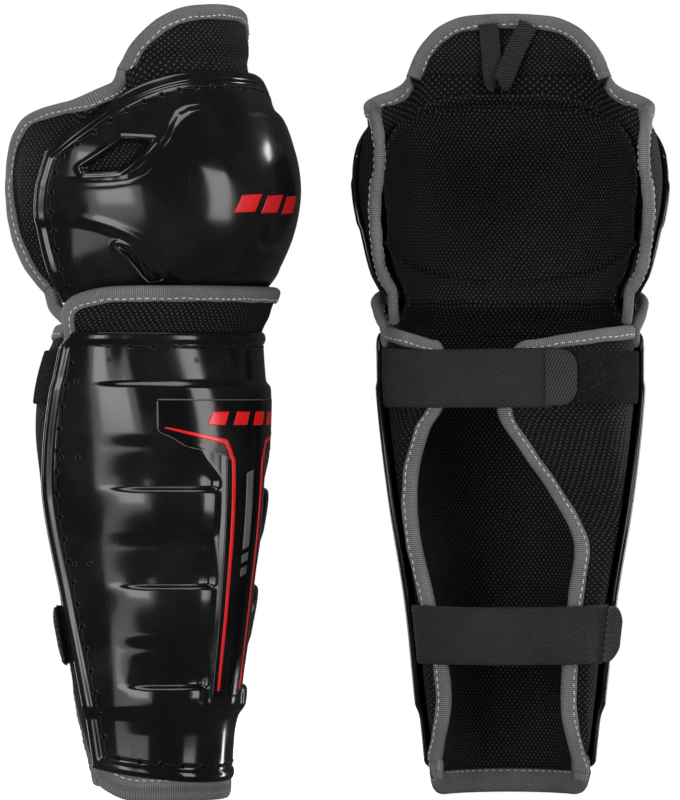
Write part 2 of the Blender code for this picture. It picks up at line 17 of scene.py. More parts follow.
import bpy
import numpy as np
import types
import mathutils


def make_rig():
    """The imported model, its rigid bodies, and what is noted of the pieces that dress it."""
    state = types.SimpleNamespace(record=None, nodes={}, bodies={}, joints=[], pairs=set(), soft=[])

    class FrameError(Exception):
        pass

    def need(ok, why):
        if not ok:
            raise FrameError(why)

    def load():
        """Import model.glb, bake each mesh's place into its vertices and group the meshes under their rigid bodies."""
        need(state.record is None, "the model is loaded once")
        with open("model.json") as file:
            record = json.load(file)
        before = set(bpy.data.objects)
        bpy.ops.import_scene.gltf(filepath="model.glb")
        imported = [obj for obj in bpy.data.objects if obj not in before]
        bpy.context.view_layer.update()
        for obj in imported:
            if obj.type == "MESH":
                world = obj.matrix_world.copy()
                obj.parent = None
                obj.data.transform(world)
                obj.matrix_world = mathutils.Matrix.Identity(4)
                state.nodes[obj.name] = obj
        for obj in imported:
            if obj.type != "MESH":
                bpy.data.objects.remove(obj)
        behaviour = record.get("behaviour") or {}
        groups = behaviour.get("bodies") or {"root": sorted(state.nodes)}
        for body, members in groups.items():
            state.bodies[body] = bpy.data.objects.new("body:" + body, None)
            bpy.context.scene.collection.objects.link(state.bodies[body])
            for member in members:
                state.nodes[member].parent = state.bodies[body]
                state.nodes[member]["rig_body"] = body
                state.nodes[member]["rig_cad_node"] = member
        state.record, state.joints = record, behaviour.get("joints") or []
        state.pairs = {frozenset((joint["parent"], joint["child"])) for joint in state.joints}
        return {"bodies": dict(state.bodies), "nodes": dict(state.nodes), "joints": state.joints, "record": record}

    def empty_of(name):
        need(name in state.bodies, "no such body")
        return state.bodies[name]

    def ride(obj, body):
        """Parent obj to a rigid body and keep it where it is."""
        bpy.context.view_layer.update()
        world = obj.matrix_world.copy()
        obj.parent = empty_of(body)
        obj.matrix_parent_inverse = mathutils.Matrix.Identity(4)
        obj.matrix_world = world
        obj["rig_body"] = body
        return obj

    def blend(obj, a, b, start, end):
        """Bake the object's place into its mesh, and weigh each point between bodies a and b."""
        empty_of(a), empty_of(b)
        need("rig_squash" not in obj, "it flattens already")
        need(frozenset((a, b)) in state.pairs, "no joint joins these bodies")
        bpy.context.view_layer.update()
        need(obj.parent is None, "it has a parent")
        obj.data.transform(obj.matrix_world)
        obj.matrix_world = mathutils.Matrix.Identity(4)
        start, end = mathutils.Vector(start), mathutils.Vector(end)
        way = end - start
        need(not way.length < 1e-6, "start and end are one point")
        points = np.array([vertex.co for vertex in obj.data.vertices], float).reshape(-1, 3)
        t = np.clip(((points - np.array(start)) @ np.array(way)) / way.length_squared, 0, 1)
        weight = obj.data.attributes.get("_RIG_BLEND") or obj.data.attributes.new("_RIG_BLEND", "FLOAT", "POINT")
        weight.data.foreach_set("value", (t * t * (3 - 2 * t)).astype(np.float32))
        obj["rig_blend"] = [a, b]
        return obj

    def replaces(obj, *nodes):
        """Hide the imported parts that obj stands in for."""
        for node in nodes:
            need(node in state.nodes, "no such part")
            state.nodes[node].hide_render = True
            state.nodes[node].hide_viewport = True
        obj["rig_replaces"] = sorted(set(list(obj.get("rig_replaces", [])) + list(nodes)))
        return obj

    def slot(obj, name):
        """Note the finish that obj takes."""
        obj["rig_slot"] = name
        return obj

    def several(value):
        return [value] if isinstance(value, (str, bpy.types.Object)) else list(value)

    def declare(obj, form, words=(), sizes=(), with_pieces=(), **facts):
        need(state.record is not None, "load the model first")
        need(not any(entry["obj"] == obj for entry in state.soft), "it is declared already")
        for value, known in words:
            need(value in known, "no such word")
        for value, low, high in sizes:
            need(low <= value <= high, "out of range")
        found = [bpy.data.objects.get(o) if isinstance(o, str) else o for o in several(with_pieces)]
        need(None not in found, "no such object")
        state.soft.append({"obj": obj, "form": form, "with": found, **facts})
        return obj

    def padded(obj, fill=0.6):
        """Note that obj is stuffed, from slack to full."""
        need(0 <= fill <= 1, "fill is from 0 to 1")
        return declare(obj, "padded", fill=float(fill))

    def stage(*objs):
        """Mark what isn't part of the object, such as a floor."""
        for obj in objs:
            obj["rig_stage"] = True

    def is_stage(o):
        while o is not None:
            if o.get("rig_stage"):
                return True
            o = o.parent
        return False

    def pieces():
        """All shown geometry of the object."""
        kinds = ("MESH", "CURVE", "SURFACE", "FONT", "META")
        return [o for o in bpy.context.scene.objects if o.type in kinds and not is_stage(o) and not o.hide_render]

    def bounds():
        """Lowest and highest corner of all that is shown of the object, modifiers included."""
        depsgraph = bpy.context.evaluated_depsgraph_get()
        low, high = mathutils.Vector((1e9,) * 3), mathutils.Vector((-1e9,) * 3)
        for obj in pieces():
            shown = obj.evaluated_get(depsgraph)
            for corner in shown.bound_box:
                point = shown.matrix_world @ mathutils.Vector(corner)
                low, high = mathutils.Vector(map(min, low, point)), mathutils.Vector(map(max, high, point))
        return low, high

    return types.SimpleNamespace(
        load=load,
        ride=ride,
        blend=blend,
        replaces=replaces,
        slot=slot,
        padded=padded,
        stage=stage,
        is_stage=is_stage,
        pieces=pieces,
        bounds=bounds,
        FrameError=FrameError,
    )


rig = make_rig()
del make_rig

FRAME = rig.load()
CAD_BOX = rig.bounds()
LOG = logging.getLogger("shin_guards")
MM = 0.001
Array = np.ndarray
Stations = tuple[tuple[float, float], ...]
Surface = Callable[[Array, Array, Array | float], Array]
Blend = tuple[str, str, float, float]
RING_SIDES = 12
TUBE_SIDES = 6
PRINT_THICK = 0.12
MM_PER_TURN = 1.4
TAPE_HOLD = 7.0


class Side(Enum):
    """The two sides of a guard: where the straps close and where they are sewn."""

    TAB = ("tab_side", -1)
    SEWN = ("sewn_side", 1)

    @property
    def label(self) -> str:
        """The side's name in the names of pieces."""
        return self.value[0]

    @property
    def sign(self) -> int:
        """Sign of the side along the guard's X."""
        return self.value[1]


# ---------------------------------------------------------------- curves and grids


def smooth(stations: Stations, height: Array | float) -> Array:
    """Cubic Hermite curve through stations, with central slopes and flat ends.

    Args:
        stations: (height, value) pairs, lowest first.
        height: where to read the curve.

    Returns:
        The value at each height.
    """
    z = np.array([s[0] for s in stations], float)
    v = np.array([s[1] for s in stations], float)
    before, after = np.maximum(np.arange(len(z)) - 1, 0), np.minimum(np.arange(len(z)) + 1, len(z) - 1)
    slope = (v[after] - v[before]) / (z[after] - z[before])
    h = np.clip(np.asarray(height, float), z[0], z[-1])
    i = np.clip(np.searchsorted(z, h, side="right") - 1, 0, len(z) - 2)
    span = z[i + 1] - z[i]
    t = (h - z[i]) / span
    start = v[i] * (1 + 2 * t) * (1 - t) ** 2 + slope[i] * span * t * (1 - t) ** 2
    return start + v[i + 1] * t * t * (3 - 2 * t) + slope[i + 1] * span * t * t * (t - 1)


def step(value: Array, low: float, high: float) -> Array:
    """Smooth step from 0 at low to 1 at high, 3t^2 - 2t^3 between them."""
    t = np.clip((value - low) / (high - low), 0, 1)
    return t * t * (3 - 2 * t)


def spread(points: Array, count: int) -> Array:
    """Points spread evenly by length on a Catmull-Rom curve through the given points."""
    p = np.asarray(points, float)
    q = np.vstack([2 * p[0] - p[1], p, 2 * p[-1] - p[-2]])
    t = np.linspace(0, 1, 24, endpoint=False)[None, :, None]
    a, b, c, d = (q[k:len(q) - 3 + k][:, None, :] for k in range(4))
    curve = b + 0.5 * t * ((c - a) + t * ((2 * a - 5 * b + 4 * c - d) + t * (3 * (b - c) + d - a)))
    curve = np.vstack([curve.reshape(-1, p.shape[1]), p[-1:]])
    return resample(curve, count)


def lengths_along(line: Array) -> Array:
    """Length run along a polyline up to each of its points."""
    return np.concatenate([[0], np.cumsum(np.linalg.norm(np.diff(line, axis=0), axis=1))])


def resample(line: Array, count: int) -> Array:
    """The same polyline with evenly spread points."""
    length = lengths_along(line)
    at = np.linspace(0, length[-1], count)
    return np.stack([np.interp(at, length, line[:, k]) for k in range(line.shape[1])], axis=1)


def inset_line(points: Array, distance: Array | float) -> Array:
    """A plane line moved to its left by a distance, along normals from neighbouring points."""
    run = np.gradient(points, axis=0)
    run /= np.linalg.norm(run, axis=1, keepdims=True)
    return points + np.stack([-run[:, 1], run[:, 0]], axis=1) * np.reshape(distance, (-1, 1))


def unit(vectors: Array) -> Array:
    """The vectors scaled to length 1."""
    return vectors / np.maximum(np.linalg.norm(vectors, axis=-1, keepdims=True), 1e-9)


def square_to(vectors: Array, run: Array) -> Array:
    """Unit directions nearest to the vectors and square to a run: the part along the run is taken off."""
    return unit(vectors - run * np.sum(vectors * run, axis=1, keepdims=True))


def normals_of(grid: Array) -> Array:
    """Unit normals of a grid of points: the cross product of its two directions."""
    return unit(np.cross(np.gradient(grid, axis=1), np.gradient(grid, axis=0)))


def mesh_grid(columns: int, rows: int) -> tuple[Array, Array]:
    """Shares across and up, both 0 to 1, as two arrays of rows by columns."""
    return np.meshgrid(np.linspace(0, 1, columns), np.linspace(0, 1, rows))


def polygon_distance(x: Array, y: Array, corners: Array) -> Array:
    """Signed distance from points to a closed outline, negative inside.

    The distance is the least over the edges; a point is inside when a ray from it crosses an odd number.
    """
    best = np.full(np.shape(x), np.inf)
    inside = np.zeros(np.shape(x), bool)
    for (x0, y0), (x1, y1) in zip(corners, np.roll(corners, -1, axis=0)):
        ex, ey = x1 - x0, y1 - y0
        t = np.clip(((x - x0) * ex + (y - y0) * ey) / (ex * ex + ey * ey), 0, 1)
        best = np.minimum(best, np.hypot(x - x0 - t * ex, y - y0 - t * ey))
        crosses = (y0 > y) != (y1 > y)
        inside ^= crosses & (x < ex * (y - y0) / (ey if ey else 1e-9) + x0)
    return np.where(inside, -best, best)


def wobble(along: Array, seed: int, size: float, wave: float = 23.0) -> Array:
    """Small hand-sewn waver: three sines of unlike wavelengths with phases from a seed."""
    phase = np.random.default_rng(seed).uniform(0, 2 * math.pi, 3)
    waves = [np.sin(along * 2 * math.pi / (wave * k) + p) / k for k, p in zip((1.0, 0.43, 2.3), phase)]
    return size * sum(waves) / 2


# ---------------------------------------------------------------- meshes


@dataclass
class Place:
    """Where a guard stands: its leg axis on the floor and its turn about the vertical."""

    name: str
    x: float
    y: float
    yaw: float

    @classmethod
    def read(cls, name: str) -> Place:
        """Reads a guard's place from its knee hinge, whose axis runs from +X to -X through the leg axis."""
        joint = next(j for j in FRAME["record"]["behaviour"]["joints"] if j["name"] == f"{name}_knee_flex")
        axis = joint["axis"]
        return cls(name, joint["pos_m"][0] / MM, joint["pos_m"][1] / MM, math.atan2(-axis[1], -axis[0]))

    def world(self, points: Array) -> Array:
        """Guard millimetres to world metres."""
        c, s = math.cos(self.yaw), math.sin(self.yaw)
        x, y, z = points[..., 0], points[..., 1], points[..., 2]
        return np.stack([self.x + c * x - s * y, self.y + s * x + c * y, z], axis=-1) * MM


@dataclass
class Shape:
    """Points, faces and pattern coordinates of one piece, in its guard's frame."""

    points: Array
    faces: Array
    pattern: Array


def together(shapes: Iterable[Shape]) -> Shape:
    """Several shapes as one: their points stacked, and each one's faces moved on past the points before."""
    parts = list(shapes)
    starts = np.cumsum([0, *(len(part.points) for part in parts)])
    return Shape(
        np.vstack([part.points for part in parts]),
        np.vstack([part.faces + start for part, start in zip(parts, starts)]),
        np.vstack([part.pattern for part in parts]),
    )


def grid_faces(rows: int, columns: int, closed: bool = False) -> Array:
    """Quads of a grid of rows by columns; closed joins the last column to the first."""
    index = np.arange(rows * columns).reshape(rows, columns)
    if closed:
        index = np.hstack([index, index[:, :1]])
    return np.stack([index[:-1, :-1], index[:-1, 1:], index[1:, 1:], index[1:, :-1]], axis=-1).reshape(-1, 4)


def outward(shape: Shape) -> Shape:
    """The closed shape with its faces outward, which the sign of its volume tells."""
    a, b, c, d = (shape.points[shape.faces[:, corner]] for corner in range(4))
    if np.sum(a * (np.cross(b, c) + np.cross(c, d))) < 0:
        shape.faces = shape.faces[:, [1, 0, 3, 2]]
    return shape


def sheet_between(outer: Array, inner: Array, pattern: Array) -> Shape:
    """Closed sheet between two grids of the same size, joined along their border."""
    rows, columns = outer.shape[:2]
    count = rows * columns
    index = np.arange(count).reshape(rows, columns)
    ring = np.concatenate([index[0, :-1], index[:-1, -1], index[-1, :0:-1], index[:0:-1, 0]])
    after = np.roll(ring, -1)
    faces = grid_faces(rows, columns)
    walls = np.stack([after, ring, ring + count, after + count], axis=1)
    flat = pattern.reshape(-1, 2)
    return outward(Shape(np.vstack([outer.reshape(-1, 3), inner.reshape(-1, 3)]),
                         np.vstack([faces, faces[:, ::-1] + count, walls]), np.vstack([flat, flat])))


def pillow(grid: Array, half: Array, pattern: Array) -> Shape:
    """Closed sheet: the grid pushed out both ways along its normals and joined at its border.

    Args:
        grid: middle surface, rows by columns by 3.
        half: half thickness at each point.
        pattern: pattern coordinates, rows by columns by 2, in millimetres.

    Returns:
        The closed shape with its faces outward.
    """
    push = normals_of(grid) * half[..., None]
    return sheet_between(grid + push, grid - push, pattern)


def crowned(across: Array, up: Array, width: Array | float, height: Array | float, thick: float,
            rounding: float, held: float = 0.0) -> Array:
    """Half thickness of a soft sheet: full inside, falling as a quarter circle near each edge.

    Within the held distance of an edge a tape squeezes the sheet to 0.62 of its thickness.
    """
    edge = np.minimum(np.minimum(across, 1 - across) * width, np.minimum(up, 1 - up) * height)
    t = np.clip(edge / rounding, 0, 1)
    half = thick / 2 * np.maximum(np.sqrt(1 - (1 - t) ** 2), 0.06)
    return half * (1 - 0.38 * (1 - step(edge, held - 0.5, held + 7))) if held else half


def swept(path: Array, side: Array, normal: Array, section: Array) -> Shape:
    """A closed section carried along a path.

    Each point is path + side * w + normal * h for the section's (w, h); the ends are closed by fans of
    quads onto the path. The pattern runs along the path's length and round the section.
    """
    rings = path[:, None] + side[:, None] * section[..., 0, None] + normal[:, None] * section[..., 1, None]
    count, around = rings.shape[:2]
    length = lengths_along(path)
    flat = section if section.ndim == 2 else section[0]
    girth = lengths_along(flat)
    pattern = np.stack(np.broadcast_arrays(length[:, None], girth[None]), axis=-1)
    faces = grid_faces(count, around, closed=True)
    points = rings.reshape(-1, 3)
    caps, centres = [], []
    for end, ring in enumerate((np.arange(around), np.arange(around) + (count - 1) * around)):
        hub = len(points) + end
        centres.append(points[ring].mean(axis=0))
        pairs = np.stack([ring, np.roll(ring, -1), np.full(around, hub), np.full(around, hub)], axis=1)
        caps.append(pairs[:, [1, 0, 2, 3]] if end == 0 else pairs)
    return outward(Shape(
        np.vstack([points, centres]), np.vstack([faces, *caps]),
        np.vstack([pattern.reshape(-1, 2), [[0, 0], [length[-1], 0]]]),
    ))


def round_section(radius: float, sides: int = 8) -> Array:
    """A circle of points as a section."""
    angle = np.linspace(0, 2 * math.pi, sides, endpoint=False)
    return radius * np.stack([np.cos(angle), np.sin(angle)], axis=1)


def frames_along(path: Array, normal: Array) -> tuple[Array, Array]:
    """Side and normal directions square to a path, from rough normals."""
    run = unit(np.gradient(path, axis=0))
    side = unit(np.cross(run, normal))
    return side, np.cross(side, run)


def copies(points: Array, one: Array) -> Shape:
    """Small closed shapes that all have the same faces.

    Args:
        points: every copy's points: copies first, x, y and z last.
        one: the faces of the first copy.

    Returns:
        All the copies as one shape, without a pattern.
    """
    flat = points.reshape(-1, 3)
    starts = np.arange(len(points)) * (len(flat) // len(points))
    faces = (one[None] + starts[:, None, None]).reshape(-1, 4)
    return outward(Shape(flat, faces, np.zeros((len(flat), 2))))


def dashes(path: Array, normal: Array, stitch: float, gap: float, radius: float, rise: float) -> Shape:
    """A row of sewn stitches: each is a short six-sided spindle lying on the surface.

    A stitch has four rings along its length with radii 0.35, 1, 1 and 0.35 of the thread's, sunk at its
    two ends, and all stitches are worked out at once as one array.
    """
    length = lengths_along(path)
    starts = np.arange(gap, length[-1] - stitch - gap, stitch + gap)
    at = starts[:, None] + stitch * np.array([0.0, 0.2, 0.8, 1.0])
    swell = np.array([0.35, 1.0, 1.0, 0.35])[:, None]
    centre, side, up = (np.stack([np.interp(at, length, values[:, k]) for k in range(3)], axis=-1)
                        for values in (path, *frames_along(path, normal)))
    centre = centre + up * (rise + (swell - 1) * radius * 1.2)
    ring = round_section(radius, TUBE_SIDES) * swell[..., None]
    points = centre[:, :, None] + side[:, :, None] * ring[..., :1] + up[:, :, None] * ring[..., 1:]
    walls = grid_faces(4, TUBE_SIDES, closed=True)
    low = np.array([[5, 4, 1, 0], [4, 3, 2, 1]])
    high = np.array([[0, 1, 4, 5], [1, 2, 3, 4]]) + 3 * TUBE_SIDES
    return copies(points, np.vstack([walls, low, high]))


def spokes(normals: Array) -> Array:
    """Unit directions evenly round each normal and square to it."""
    around = np.linspace(0, 2 * math.pi, RING_SIDES, endpoint=False)[:, None]
    rough = np.where(np.abs(normals[:, 2:3]) < 0.9, [[0.0, 0.0, 1.0]], [[1.0, 0.0, 0.0]])
    right = unit(np.cross(rough, normals))
    return right[:, None] * np.cos(around) + np.cross(normals, right)[:, None] * np.sin(around)


def rings_at(centres: Array, normals: Array, radius: float, wire: float, sink: float) -> Shape:
    """Small rings lying on a surface: each is a torus, sunk a little into it."""
    tube = round_section(wire, TUBE_SIDES)
    points = (centres[:, None, None] + spokes(normals)[:, :, None] * (radius + tube[:, :1])
              + normals[:, None, None] * (tube[:, 1:] - sink))
    index = np.arange(RING_SIDES * TUBE_SIDES).reshape(RING_SIDES, TUBE_SIDES)
    beside, above = np.roll(index, -1, axis=0), np.roll(index, -1, axis=1)
    corner = np.roll(beside, -1, axis=1)
    return copies(points, np.stack([index, beside, corner, above], axis=-1).reshape(-1, 4))


def discs_at(centres: Array, normals: Array, radius: float, rise: float, sunk: float = 0.8) -> Shape:
    """Small low domes lying on a surface: a hub, a ring at the rise and a ring sunk below it."""
    spoke = spokes(normals) * radius
    high, low = (centres + normals * rise)[:, None], (centres - normals * sunk)[:, None]
    points = np.concatenate([high + spoke, low + spoke, high, low], axis=1)
    ring = np.arange(RING_SIDES)
    after = np.roll(ring, -1)
    hub, foot = np.full(RING_SIDES, 2 * RING_SIDES), np.full(RING_SIDES, 2 * RING_SIDES + 1)
    return copies(points, np.vstack([
        np.stack([ring + RING_SIDES, after + RING_SIDES, after, ring], axis=1),
        np.stack([ring, after, hub, hub], axis=1),
        np.stack([after + RING_SIDES, ring + RING_SIDES, foot, foot], axis=1),
    ]))


# ---------------------------------------------------------------- finishes


class Nodes:
    """Short hand for building a node tree."""

    def __init__(self, tree: bpy.types.NodeTree) -> None:
        """Keeps the tree to build in."""
        self.tree = tree

    def add(self, kind: str, settings: dict | None = None, **inputs: object) -> bpy.types.Node:
        """Adds a node, sets its properties and fills its inputs.

        Args:
            kind: the node's type.
            settings: properties of the node itself.
            inputs: input names with spaces as underscores, or in0, in1 for sockets by number.

        Returns:
            The node.
        """
        node = self.tree.nodes.new(kind)
        for name, value in (settings or {}).items():
            setattr(node, name, value)
        for name, value in inputs.items():
            key = int(name[2:]) if name[:2] == "in" and name[2:].isdigit() else name.replace("_", " ")
            socket = node.inputs[key]
            if isinstance(value, bpy.types.NodeSocket):
                self.tree.links.new(value, socket)
            else:
                socket.default_value = value
        return node

    def math(self, operation: str, *values: object) -> bpy.types.NodeSocket:
        """A Math node's result."""
        inputs = {f"in{i}": value for i, value in enumerate(values)}
        return self.add("ShaderNodeMath", {"operation": operation}, **inputs).outputs[0]

    def mix(self, factor: object, low: object, high: object) -> bpy.types.NodeSocket:
        """A colour between two, by a factor."""
        return self.add("ShaderNodeMix", {"data_type": "RGBA"}, in0=factor, in6=low, in7=high).outputs[2]

    def ramp(self, value: object, low: float, high: float, start: float = 0.0, end: float = 1.0) -> object:
        """A value spread from one range to another and held inside it."""
        node = self.add("ShaderNodeMapRange", None, Value=value, From_Min=low, From_Max=high,
                        To_Min=start, To_Max=end)
        return node.outputs[0]


def make_group(name: str, inputs: dict[str, float], outputs: dict[str, str],
               build: Callable[[Nodes, dict], dict]) -> bpy.types.NodeTree:
    """A shader node group with named sockets.

    Args:
        name: the group's name.
        inputs: float inputs with their defaults; "Vector" is a vector input.
        outputs: output names with their socket types.
        build: makes the nodes from the input sockets and returns the output sockets by name.

    Returns:
        The group's tree.
    """
    tree = bpy.data.node_groups.new(name, "ShaderNodeTree")
    for label, value in inputs.items():
        kind = "NodeSocketVector" if label == "Vector" else "NodeSocketFloat"
        socket = tree.interface.new_socket(label, in_out="INPUT", socket_type=kind)
        if label != "Vector":
            socket.default_value = value
    for label, kind in outputs.items():
        tree.interface.new_socket(label, in_out="OUTPUT", socket_type=kind)
    nodes = Nodes(tree)
    entry = nodes.add("NodeGroupInput")
    leave = nodes.add("NodeGroupOutput")
    for label, socket in build(nodes, {s.name: s for s in entry.outputs if s.name}).items():
        tree.links.new(socket, leave.inputs[label])
    return tree


def build_scuffs(nodes: Nodes, given: dict) -> dict:
    """Fine handling marks: stretched noise for hairlines and a soft cloud for dust."""
    stretch = nodes.add("ShaderNodeMapping", None, Vector=given["Vector"], Scale=(1.0, 1.0, 0.12))
    hair = nodes.add("ShaderNodeTexNoise", None, Vector=stretch.outputs[0], Scale=900.0, Detail=3.0)
    cloud = nodes.add("ShaderNodeTexNoise", None, Vector=given["Vector"], Scale=28.0, Detail=4.0)
    lines = nodes.ramp(hair.outputs[0], 0.60, 0.72)
    haze = nodes.ramp(cloud.outputs[0], 0.42, 0.72)
    marks = nodes.math("ADD", nodes.math("MULTIPLY", lines, 0.6), haze)
    return {"Mask": nodes.math("MULTIPLY", marks, given["Amount"]),
            "Height": nodes.math("MULTIPLY", cloud.outputs[0], given["Amount"])}


def build_dots(nodes: Nodes, given: dict) -> dict:
    """Spacer mesh: raised yarn dots on a diamond lattice, cos(ku) * cos(kv), over a fine knit."""
    split = nodes.add("ShaderNodeSeparateXYZ", None, Vector=given["Vector"])
    wave = nodes.math("DIVIDE", 2 * math.pi, given["Pitch"])
    warp = nodes.add("ShaderNodeTexNoise", None, Vector=given["Vector"], Scale=0.05, Detail=2.0)
    drift = nodes.math("MULTIPLY", warp.outputs[0], 5.0)
    u = nodes.math("ADD", nodes.math("MULTIPLY", split.outputs[0], wave), drift)
    v = nodes.math("ADD", nodes.math("MULTIPLY", split.outputs[1], wave), drift)
    lattice = nodes.math("MULTIPLY", nodes.math("COSINE", u), nodes.math("COSINE", v))
    dots = nodes.ramp(lattice, 0.35, 0.9)
    fine = nodes.add("ShaderNodeTexNoise", None, Vector=given["Vector"], Scale=1.6, Detail=2.0)
    uneven = nodes.ramp(fine.outputs[0], 0.3, 0.75)
    height = nodes.math("ADD", nodes.ramp(lattice, -1.0, 1.0), nodes.math("MULTIPLY", fine.outputs[0], 0.5))
    return {"Mask": nodes.math("MULTIPLY", dots, uneven), "Height": height}


def build_ribs(nodes: Nodes, given: dict) -> dict:
    """Woven tape: ribs across its length, each broken by finer yarns along it."""
    split = nodes.add("ShaderNodeSeparateXYZ", None, Vector=given["Vector"])
    wave = nodes.math("DIVIDE", 2 * math.pi, given["Pitch"])
    slant = nodes.math("MULTIPLY", split.outputs[1], given["Slant"])
    ribs = nodes.math("SINE", nodes.math("MULTIPLY", nodes.math("ADD", split.outputs[0], slant), wave))
    yarns = nodes.math("SINE", nodes.math("MULTIPLY", split.outputs[1], nodes.math("MULTIPLY", wave, 1.3)))
    fine = nodes.add("ShaderNodeTexNoise", None, Vector=given["Vector"], Scale=0.9, Detail=3.0)
    both = nodes.math("ADD", ribs, nodes.math("MULTIPLY", yarns, 0.45))
    shade = nodes.ramp(both, -1.3, 1.3)
    return {
        "Mask": nodes.math("MULTIPLY", shade, nodes.ramp(fine.outputs[0], 0.2, 0.8, 0.65, 1.0)),
        "Height": nodes.math("ADD", shade, nodes.math("MULTIPLY", fine.outputs[0], 0.4)),
    }


def build_fuzz(nodes: Nodes, given: dict) -> dict:
    """Brushed pile: crowded small cells broken up by noise."""
    cells = nodes.add("ShaderNodeTexVoronoi", None, Vector=given["Vector"], Scale=given["Pitch"])
    noise = nodes.add("ShaderNodeTexNoise", None, Vector=given["Vector"], Scale=2.2, Detail=5.0)
    rough = nodes.math("ADD", cells.outputs[0], noise.outputs[0])
    return {"Mask": nodes.ramp(rough, 0.5, 1.4), "Height": rough}


def build_patches(nodes: Nodes, given: dict) -> dict:
    """Uneven tone in broad soft patches, from a little darker to a little lighter."""
    cloud = nodes.add("ShaderNodeTexNoise", None, Vector=given["Vector"], Scale=35.0, Detail=3.0)
    return {"Shade": nodes.ramp(cloud.outputs[0], 0.3, 0.7, 0.82, 1.12)}


class Effect(Enum):
    """Shared surface effects, each a node group built once."""

    SCUFFS = "scuffs"
    DOTS = "mesh_dots"
    RIBS = "tape_ribs"
    FUZZ = "pile_fuzz"


class Effects:
    """The shared node groups."""

    def __init__(self) -> None:
        """Builds each group once."""
        out = {"Mask": "NodeSocketFloat", "Height": "NodeSocketFloat"}
        self.groups = {
            Effect.SCUFFS: make_group("scuffs", {"Vector": 0, "Amount": 1.0}, out, build_scuffs),
            Effect.DOTS: make_group("mesh_dots", {"Vector": 0, "Pitch": 2.6}, out, build_dots),
            Effect.RIBS: make_group("tape_ribs", {"Vector": 0, "Pitch": 1.2, "Slant": 0.0}, out, build_ribs),
            Effect.FUZZ: make_group("pile_fuzz", {"Vector": 0, "Pitch": 1.2}, out, build_fuzz),
        }
        self.patches = make_group("tone_patches", {"Vector": 0}, {"Shade": "NodeSocketFloat"}, build_patches)


@dataclass(frozen=True)
class Finish:
    """One surface finish: two tones mixed by an effect's mask, and a bump from its height."""

    name: str
    slot: str
    effect: Effect
    low: tuple[float, float, float]
    high: tuple[float, float, float]
    rough: tuple[float, float]
    pitch: float = 1.0
    slant: float = 0.0
    bump: float = 0.2
    bump_mm: float = 0.25
    coat: float = 0.0
    coat_rough: float = 0.05
    sheen: float = 0.0
    specular: float = 0.5
    on_object: bool = False

    def material(self, effects: Effects) -> bpy.types.Material:
        """Builds the finish's material.

        Args:
            effects: the shared groups.

        Returns:
            The new material.
        """
        material = bpy.data.materials.new(self.name)
        material.use_nodes = True
        nodes = Nodes(material.node_tree)
        shader = material.node_tree.nodes["Principled BSDF"]
        place = nodes.add("ShaderNodeTexCoord")
        source = place.outputs["Object" if self.on_object else "UV"]
        group = nodes.add("ShaderNodeGroup", {"node_tree": effects.groups[self.effect]}, Vector=source)
        if "Pitch" in group.inputs:
            group.inputs["Pitch"].default_value = self.pitch
        if "Slant" in group.inputs:
            group.inputs["Slant"].default_value = self.slant
        mask, height = group.outputs["Mask"], group.outputs["Height"]
        tone = nodes.mix(mask, (*self.low, 1), (*self.high, 1))
        patches = nodes.add("ShaderNodeGroup", {"node_tree": effects.patches}, Vector=place.outputs["Object"])
        shaded = nodes.add("ShaderNodeVectorMath", {"operation": "SCALE"}, in0=tone,
                           Scale=patches.outputs["Shade"])
        bump = nodes.add("ShaderNodeBump", None, Strength=self.bump, Distance=self.bump_mm * MM,
                         Height=height)
        links = material.node_tree.links
        links.new(shaded.outputs[0], shader.inputs["Base Color"])
        links.new(nodes.ramp(mask, 0.0, 1.0, *self.rough), shader.inputs["Roughness"])
        links.new(bump.outputs[0], shader.inputs["Normal"])
        shader.inputs["Coat Weight"].default_value = self.coat
        shader.inputs["Coat Roughness"].default_value = self.coat_rough
        shader.inputs["Sheen Weight"].default_value = self.sheen
        shader.inputs["Specular IOR Level"].default_value = self.specular
        return material


SHELL_BLACK = Finish("glossy_black_shell", "shell_plastic", Effect.SCUFFS, (0.0042, 0.0042, 0.0047),
                     (0.009, 0.009, 0.010), (0.11, 0.21), bump=0.05, bump_mm=0.3, on_object=True)
FILM_BLACK = Finish("printed_black", "printed_film", Effect.SCUFFS, (0.0025, 0.0025, 0.0025),
                    (0.004, 0.004, 0.004), (0.14, 0.26), bump=0.04, on_object=True)
FILM_RED = Finish("printed_red", "printed_film", Effect.SCUFFS, (0.62, 0.006, 0.008),
                  (0.5, 0.012, 0.012), (0.2, 0.32), bump=0.04, on_object=True)
FILM_GREY = Finish("printed_grey", "printed_film", Effect.SCUFFS, (0.09, 0.09, 0.095),
                   (0.07, 0.07, 0.07), (0.2, 0.32), bump=0.04, on_object=True)
# Painted shade: a near-black matte finish for the low discs that stand in for the dark inside of punched holes and
# vent holes.
HOLE_BLACK = Finish("hole_black", "shell_plastic", Effect.SCUFFS, (0.001, 0.001, 0.001),
                    (0.002, 0.002, 0.002), (0.8, 0.9), bump=0.05, specular=0.1, on_object=True)
THREAD_BLACK = Finish("black_thread", "shell_plastic", Effect.SCUFFS, (0.006, 0.006, 0.006),
                      (0.015, 0.015, 0.015), (0.65, 0.8), bump=0.3, specular=0.25, on_object=True)
MESH_CLOTH = Finish("black_spacer_mesh", "mesh_cloth", Effect.DOTS, (0.0035, 0.0035, 0.0038),
                    (0.095, 0.095, 0.098), (0.8, 0.6), pitch=3.4, bump=0.8, bump_mm=0.6, specular=0.12)
LINING_MESH = Finish("inner_mesh", "mesh_cloth", Effect.DOTS, (0.0040, 0.0035, 0.0036),
                     (0.105, 0.097, 0.100), (0.8, 0.6), pitch=3.8, bump=0.8, bump_mm=0.6, specular=0.12)
